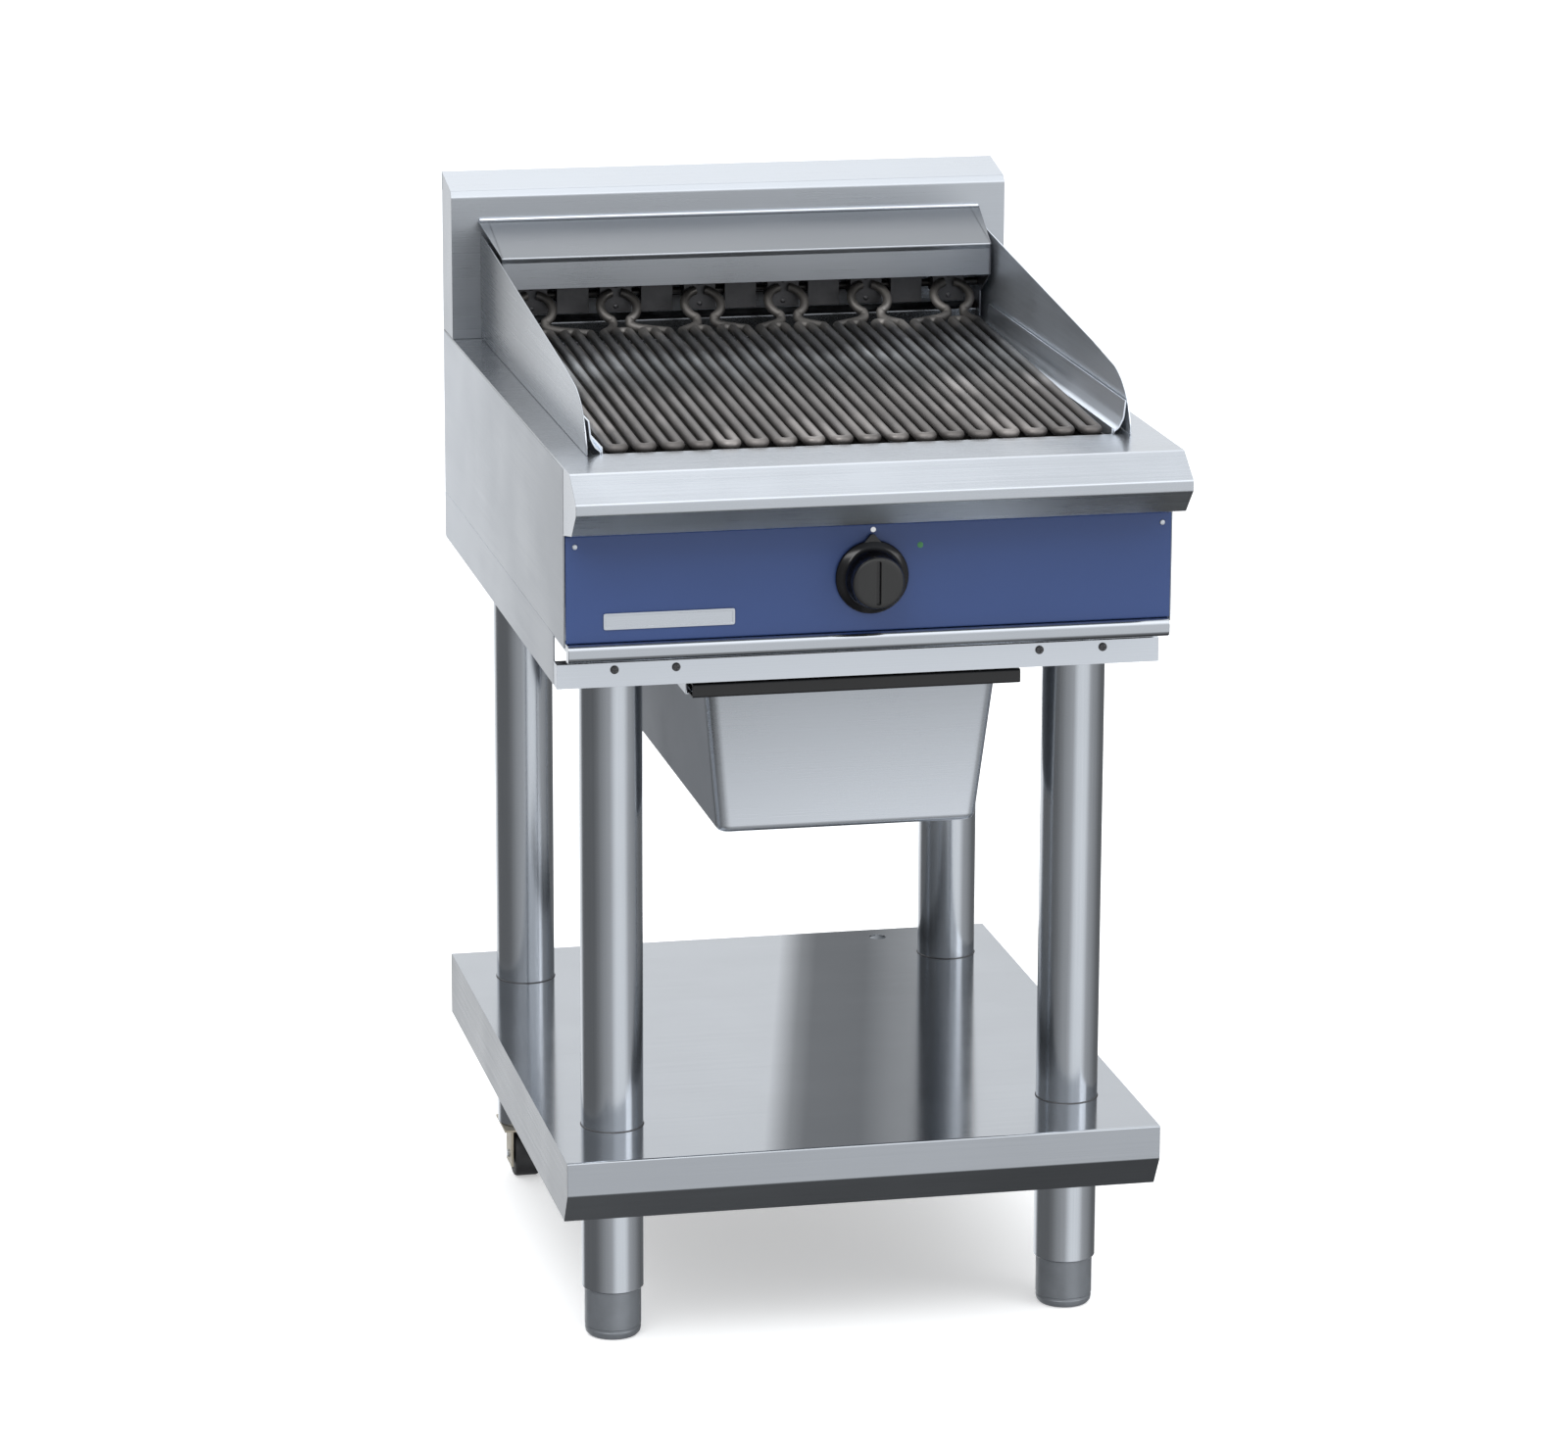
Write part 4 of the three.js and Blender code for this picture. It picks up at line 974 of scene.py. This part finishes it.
def element_line(centre_x, ring_x, grid, pitch):
    """One element's centre line: out of its ring, to and fro over the grid, back to the ring."""
    front_y, rear_y, front_z, rear_z = grid
    bend = pitch / 2
    bend_steps = 12
    front_turn = front_y + TUBE_RADIUS + bend
    rear_turn = rear_y - TUBE_RADIUS - bend - BEND_SETBACK

    def on_grid(x, y):
        return Vector((x, y, front_z + (rear_z - front_z) * (y - front_y) / (rear_y - front_y)))

    def on_ring(side, across, along):
        return Vector((ring_x + side * across, rear_y + along * math.cos(RING_LEAN),
                       rear_z + along * math.sin(RING_LEAN)))

    def tail(side, pass_x):
        ring = [on_ring(side, u, v)
                for u, v in arc((0, RING_RISE), RING_RADIUS, -62, 73.8, 18)]
        rise = [on_grid(pass_x, rear_turn), on_ring(side, NECK_HALF, 0), ring[0]]
        return chaikin(rise, 3)[1:-1] + ring

    line = []
    for index in range(PASSES):
        x = centre_x + (index - (PASSES - 1) / 2) * pitch
        forward = index % 2 == 0
        if index == 0:
            line += tail(-1, x)[::-1]
        line.append(on_grid(x, rear_turn if forward else front_turn))
        line.append(on_grid(x, front_turn if forward else rear_turn))
        if index == PASSES - 1:
            line += tail(1, x)
            break
        turn_y, outward = (front_turn, -1) if forward else (rear_turn, 1)
        for step in range(1, bend_steps):
            angle = math.pi * step / bend_steps
            line.append(on_grid(x + bend * (1 - math.cos(angle)),
                                turn_y + outward * bend * math.sin(angle)))
    return line


def swept_tube(line, radius):
    """A round tube along a line, with flat ends."""
    sides = 14
    rings = []
    across = None
    count = len(line)
    for index, point in enumerate(line):
        before = line[max(index - 1, 0)]
        after = line[min(index + 1, count - 1)]
        along = (after - before).normalized()
        if across is None:
            across = along.orthogonal().normalized()
        across = (across - along * across.dot(along)).normalized()
        third = along.cross(across)
        ring = []
        for side in range(sides):
            angle = 2 * math.pi * side / sides
            spot = point + (across * math.cos(angle) + third * math.sin(angle)) * radius
            ring.append(tuple(spot))
        rings.append(ring)
    return bridged(rings)


def heating_elements():
    low, _ = box("element_1")
    hinge = centre_of("hinge_rod")
    width = (centre_of(f"element_{ELEMENTS}").x - centre_of("element_1").x) / (ELEMENTS - 1)
    pitch = width / PASSES
    ring_pitch = 90
    grid_rear_y = hinge.y - GRID_REAR_GAP
    ring_top_y = grid_rear_y + (RING_RISE + RING_RADIUS) * math.cos(RING_LEAN)
    front_gap = 0.1
    grid_z = low.z + TUBE_RADIUS
    grid = (low.y + front_gap, grid_rear_y, grid_z, grid_z + GRID_RISE)
    for index in range(ELEMENTS):
        steps = index - (ELEMENTS - 1) / 2
        node = f"element_{index + 1}"
        ring_x = steps * ring_pitch
        line = element_line(steps * width, ring_x, grid, pitch)
        piece(f"{node}_tube", swept_tube(line, TUBE_RADIUS), SHEATH, [node],
              edge_angle=60)

        half, thickness, bite = 17, 5, 3
        front = ring_top_y - hinge.y + TUBE_RADIUS - bite
        back = front + thickness
        barrel, join = 7.5, 4
        grip = math.degrees(math.asin(join / barrel))
        curve = arc((0, 0), barrel, -180 + grip, 180 - grip, 28)
        outline = [(front, -half), (back, -half), (back, -join), *curve, (back, join),
                   (back, half), (front, half)]
        outline = [(u + hinge.y, v + hinge.z) for u, v in outline]
        plate = prism(outline, ring_x - half, ring_x + half, "X")
        hole = drill(ROD_BORE, ring_x - 2 * half, ring_x + 2 * half, "X", (0, hinge.y, hinge.z))
        piece(f"{node}_hinge_plate", carved(plate, hole), CLAMP_STEEL, [node],
              edge=0.5, edge_angle=40)
        rivet_offset = 11
        for level, z in (("low", -rivet_offset), ("high", rivet_offset)):
            stud = turned([(0, -1.4), (1.6, -1.3), (2.6, -0.6), (2.8, 0), (0, 0)], "Y",
                          (ring_x, hinge.y + front, hinge.z + z), 20)
            piece(f"{node}_rivet_{level}", stud, CLAMP_STEEL,
                  body=body_with(node))


# ---- Drip pan ----

def drip_pan():
    low, high = box("drip_pan")
    grip_low, grip_high = box("pan_grip")
    rim_width, rim_front = 13, 4
    bottom_half = 131
    top_half = high.x - rim_width
    taper = 14
    front = low.y + rim_front
    back = high.y - rim_width
    corner, rim_corner, corner_steps = 14, 8, 7

    def ring(inset, rise):
        part = (rise - low.z) / (high.z - low.z)
        half = bottom_half + (top_half - bottom_half) * part - inset
        end = taper * (1 - part) + inset
        return [(x, y, rise) for x, y in
                rectangle(-half, half, front + end, back - end, max(corner - inset, 2),
                          corner_steps)]

    bottom = [ring(9, low.z), ring(5.2, low.z + 0.4), ring(2.2, low.z + 1.8),
              ring(0.6, low.z + 4.4), ring(0, low.z + 8)]
    under_rim = high.z - SHEET
    wall = [ring(0, under_rim - 3), ring(-0.9, under_rim - 0.9)]

    def rim(edge_inset, rise):
        return [(x, y, rise) for x, y in rectangle(
            low.x + edge_inset, high.x - edge_inset, low.y + edge_inset, high.y - edge_inset,
            rim_corner, corner_steps)]

    flange = [rim(0.6, under_rim), rim(0, under_rim + 0.5), rim(0, high.z - 0.5),
              rim(0.6, high.z)]
    inside = [ring(SHEET - 1, high.z), ring(SHEET, high.z - 1.5), ring(SHEET, low.z + 9),
              ring(SHEET + 2.6, low.z + 3.4), ring(SHEET + 8, low.z + SHEET)]
    shape = bridged(bottom + wall + flange + inside)
    shell = piece("drip_pan_shell", shape, PAN_STEEL, ["drip_pan"], edge_angle=55)
    # The pan's sides get the darker copy: painted shade
    face_material(shell, PAN_SIDE_SHADED_STEEL, lambda normal: abs(normal.x) > 0.9)

    line = rounded([(grip_high.y, grip_high.z), (grip_low.y, grip_high.z),
                    (grip_low.y, grip_low.z), (grip_high.y, grip_low.z)], [0, 3, 3, 0])
    piece("pan_grip_channel", prism(folded(line), grip_low.x, grip_high.x, "X"), BLACK_ENAMEL,
          ["pan_grip"], edge=0.4, edge_angle=40)


# ---- Shelf, legs, feet and rollers ----

CORNERS = ("front_left", "front_right", "rear_left", "rear_right")


def shelf():
    low, high = box("shelf")
    face_height, return_depth, return_drop = 34, 20, 32
    fold_z = high.z - face_height
    line = rounded([
        (low.y + return_depth, fold_z - return_drop), (low.y, fold_z), (low.y, high.z),
        (high.y, high.z), (high.y, low.z)], [0, 4, 3, 3, 0])
    skin = prism(folded(line, -SHEET), low.x, high.x, "X")
    cut = (high.z - CUT_REACH, high.z + CUT_REACH)
    leg_gap = 0.3
    tools = []
    for corner in CORNERS:
        leg_low, leg_high = box(f"leg_{corner}")
        centre = centre_of(f"leg_{corner}")
        radius = (leg_high.x - leg_low.x) / 2 + leg_gap
        tools.append(drill(radius, *cut, "Z", (centre.x, centre.y, 0), 64))
    drain_radius, drain_x, drain_inset = 9, 173, 31
    tools.append(drill(drain_radius, *cut, "Z", (drain_x, high.y - drain_inset, 0)))
    ends = end_plates(beside(line, -SHEET / 2), low, high)
    sheet = piece("shelf_sheet", joined(carved(skin, *tools), *ends), SHELF_STEEL,
                  ["shelf"], edge=0.35, edge_angle=40)
    face_material(sheet, SHELF_END_STEEL, lambda normal: abs(normal.x) > 0.9)
    face_material(sheet, SHELF_FACE_STEEL, lambda normal: normal.y < -0.5)
    lay_grain_map(sheet.data, "Y")


def legs():
    shelf_top = box("shelf")[1].z
    for corner in CORNERS:
        node = f"leg_{corner}"
        low, high = box(node)
        centre = (low + high) / 2
        radius = (high.x - low.x) / 2
        wall, chamfer = 2, 0.5
        profile = [
            (radius - wall, low.z), (radius - chamfer, low.z), (radius, low.z + chamfer),
            (radius, high.z - chamfer), (radius - chamfer, high.z), (radius - wall, high.z)]
        piece(f"{node}_tube", turned(profile, "Z", (centre.x, centre.y, 0), 96, ring=True),
              LEG_STEEL, [node], edge_angle=30)
        weld, gap = 0.9, 0.1
        bead = [(radius + gap, shelf_top + gap), (radius + weld, shelf_top + gap),
                (radius + weld * 0.8, shelf_top + weld * 0.6), (radius + gap, shelf_top + weld)]
        piece(f"{node}_weld", turned(bead, "Z", (centre.x, centre.y, 0), 96, ring=True),
              CLAMP_STEEL)


def feet():
    for hand, _ in HANDS:
        node = f"foot_{hand}"
        low, high = box(node)
        centre = (low + high) / 2
        radius = (high.x - low.x) / 2
        stem, thread, threads = 45, 15, 14
        top = high.z - stem
        profile = [
            (0, low.z), (radius - 8, low.z), (radius - 3, low.z + 1.2), (radius - 0.8, low.z + 4),
            (radius - 0.2, low.z + 8), (radius - 0.9, low.z + 9.2), (radius - 0.9, low.z + 10.6),
            (radius, low.z + 11.6), (radius, top - 0.6), (radius - 0.6, top), (thread, top)]
        pitch = (high.z - top) / threads
        for turn in range(threads):
            start = top + turn * pitch
            profile.append((thread - 1.2, start + pitch * 0.3))
            profile.append((thread, start + pitch * 0.8))
        profile += [(thread - 1.5, high.z), (0, high.z)]
        piece(f"{node}_moulding", turned(profile, "Z", (centre.x, centre.y, 0), 80), FOOT_GREY,
              [node], edge_angle=35)
        refined(f"leg_plug_{hand}", FOOT_GREY, edge=0.3)


def rollers():
    for hand, _ in HANDS:
        node = f"roller_wheel_{hand}"
        low, high = box(node)
        centre = (low + high) / 2
        radius = (high.z - low.z) / 2
        half = (high.x - low.x) / 2
        side = [(ROD_BORE, half), (ROD_BORE + 3, half), (ROD_BORE + 3.6, half - 0.6),
                (radius - 8, half - 1.6), (radius - 6.6, half - 0.2), (radius - 3, half),
                (radius - 1, half - 1), (radius, half - 3.4)]
        profile = side + [(r, -h) for r, h in side[::-1]]
        piece(f"{node}_tread", turned(profile, "X", (centre.x, centre.y, centre.z), 72, ring=True),
              RUBBER, [node], edge_angle=40)
        refined(f"roller_bracket_{hand}", ZINC, edge=0.6)
        refined(f"roller_axle_{hand}", BODY_STEEL, edge=0.4)


# ---- Plain sheet parts and inner parts ----

def mains_entry():
    low, high = box("cable_gland")
    centre = (low + high) / 2
    collar = (high.x - low.x) / 2
    bore, thread, gap = 6, 9, 0.3
    face = box("rear_panel")[1].y + gap
    profile = [(bore, low.y), (thread, low.y), (thread, face), (collar - 0.6, face),
               (collar, face + 0.6), (collar, face + 6.6), (collar - 1.2, face + 7.8),
               (9.6, high.y - 0.4), (8.6, high.y), (bore, high.y)]
    piece("cable_gland_moulding", turned(profile, "Y", (centre.x, 0, centre.z), 48, ring=True),
          BLACK_GLOSS, ["cable_gland"], edge_angle=35)


def plain_parts():
    for hand, _ in HANDS:
        for part, steel in (("side_panel", SIDE_STEEL), ("base_skirt", SIDE_STEEL),
                            ("leg_beam", BODY_STEEL), ("pan_runner", BODY_STEEL)):
            refined(f"{part}_{hand}", steel)
    for node in ("front_rail", "rear_panel", "rear_rail", "splashback_cover"):
        refined(node, BODY_STEEL)
    refined("well_liner", DARK_STEEL)
    refined("grid_rest_bar", DARK_STEEL)
    refined("hinge_rod", DARK_STEEL, edge=0.3, edge_angle=50)
    for index in range(1, ELEMENTS):
        refined(f"rod_support_{index}", CLAMP_STEEL, edge=0.4)
    refined("knob_spindle", BODY_STEEL, edge=0.3, edge_angle=50)
    refined("energy_regulator", CERAMIC, edge=0.6)
    refined("terminal_block", CERAMIC, edge=0.6)


hob_top()
splashback()
element_hood()
rear_sill()
side_guards()
control_panel()
panel_trim()
badge()
rail_screws()
back_screws()
knob()
heating_elements()
drip_pan()
shelf()
legs()
feet()
rollers()
mains_entry()
plain_parts()
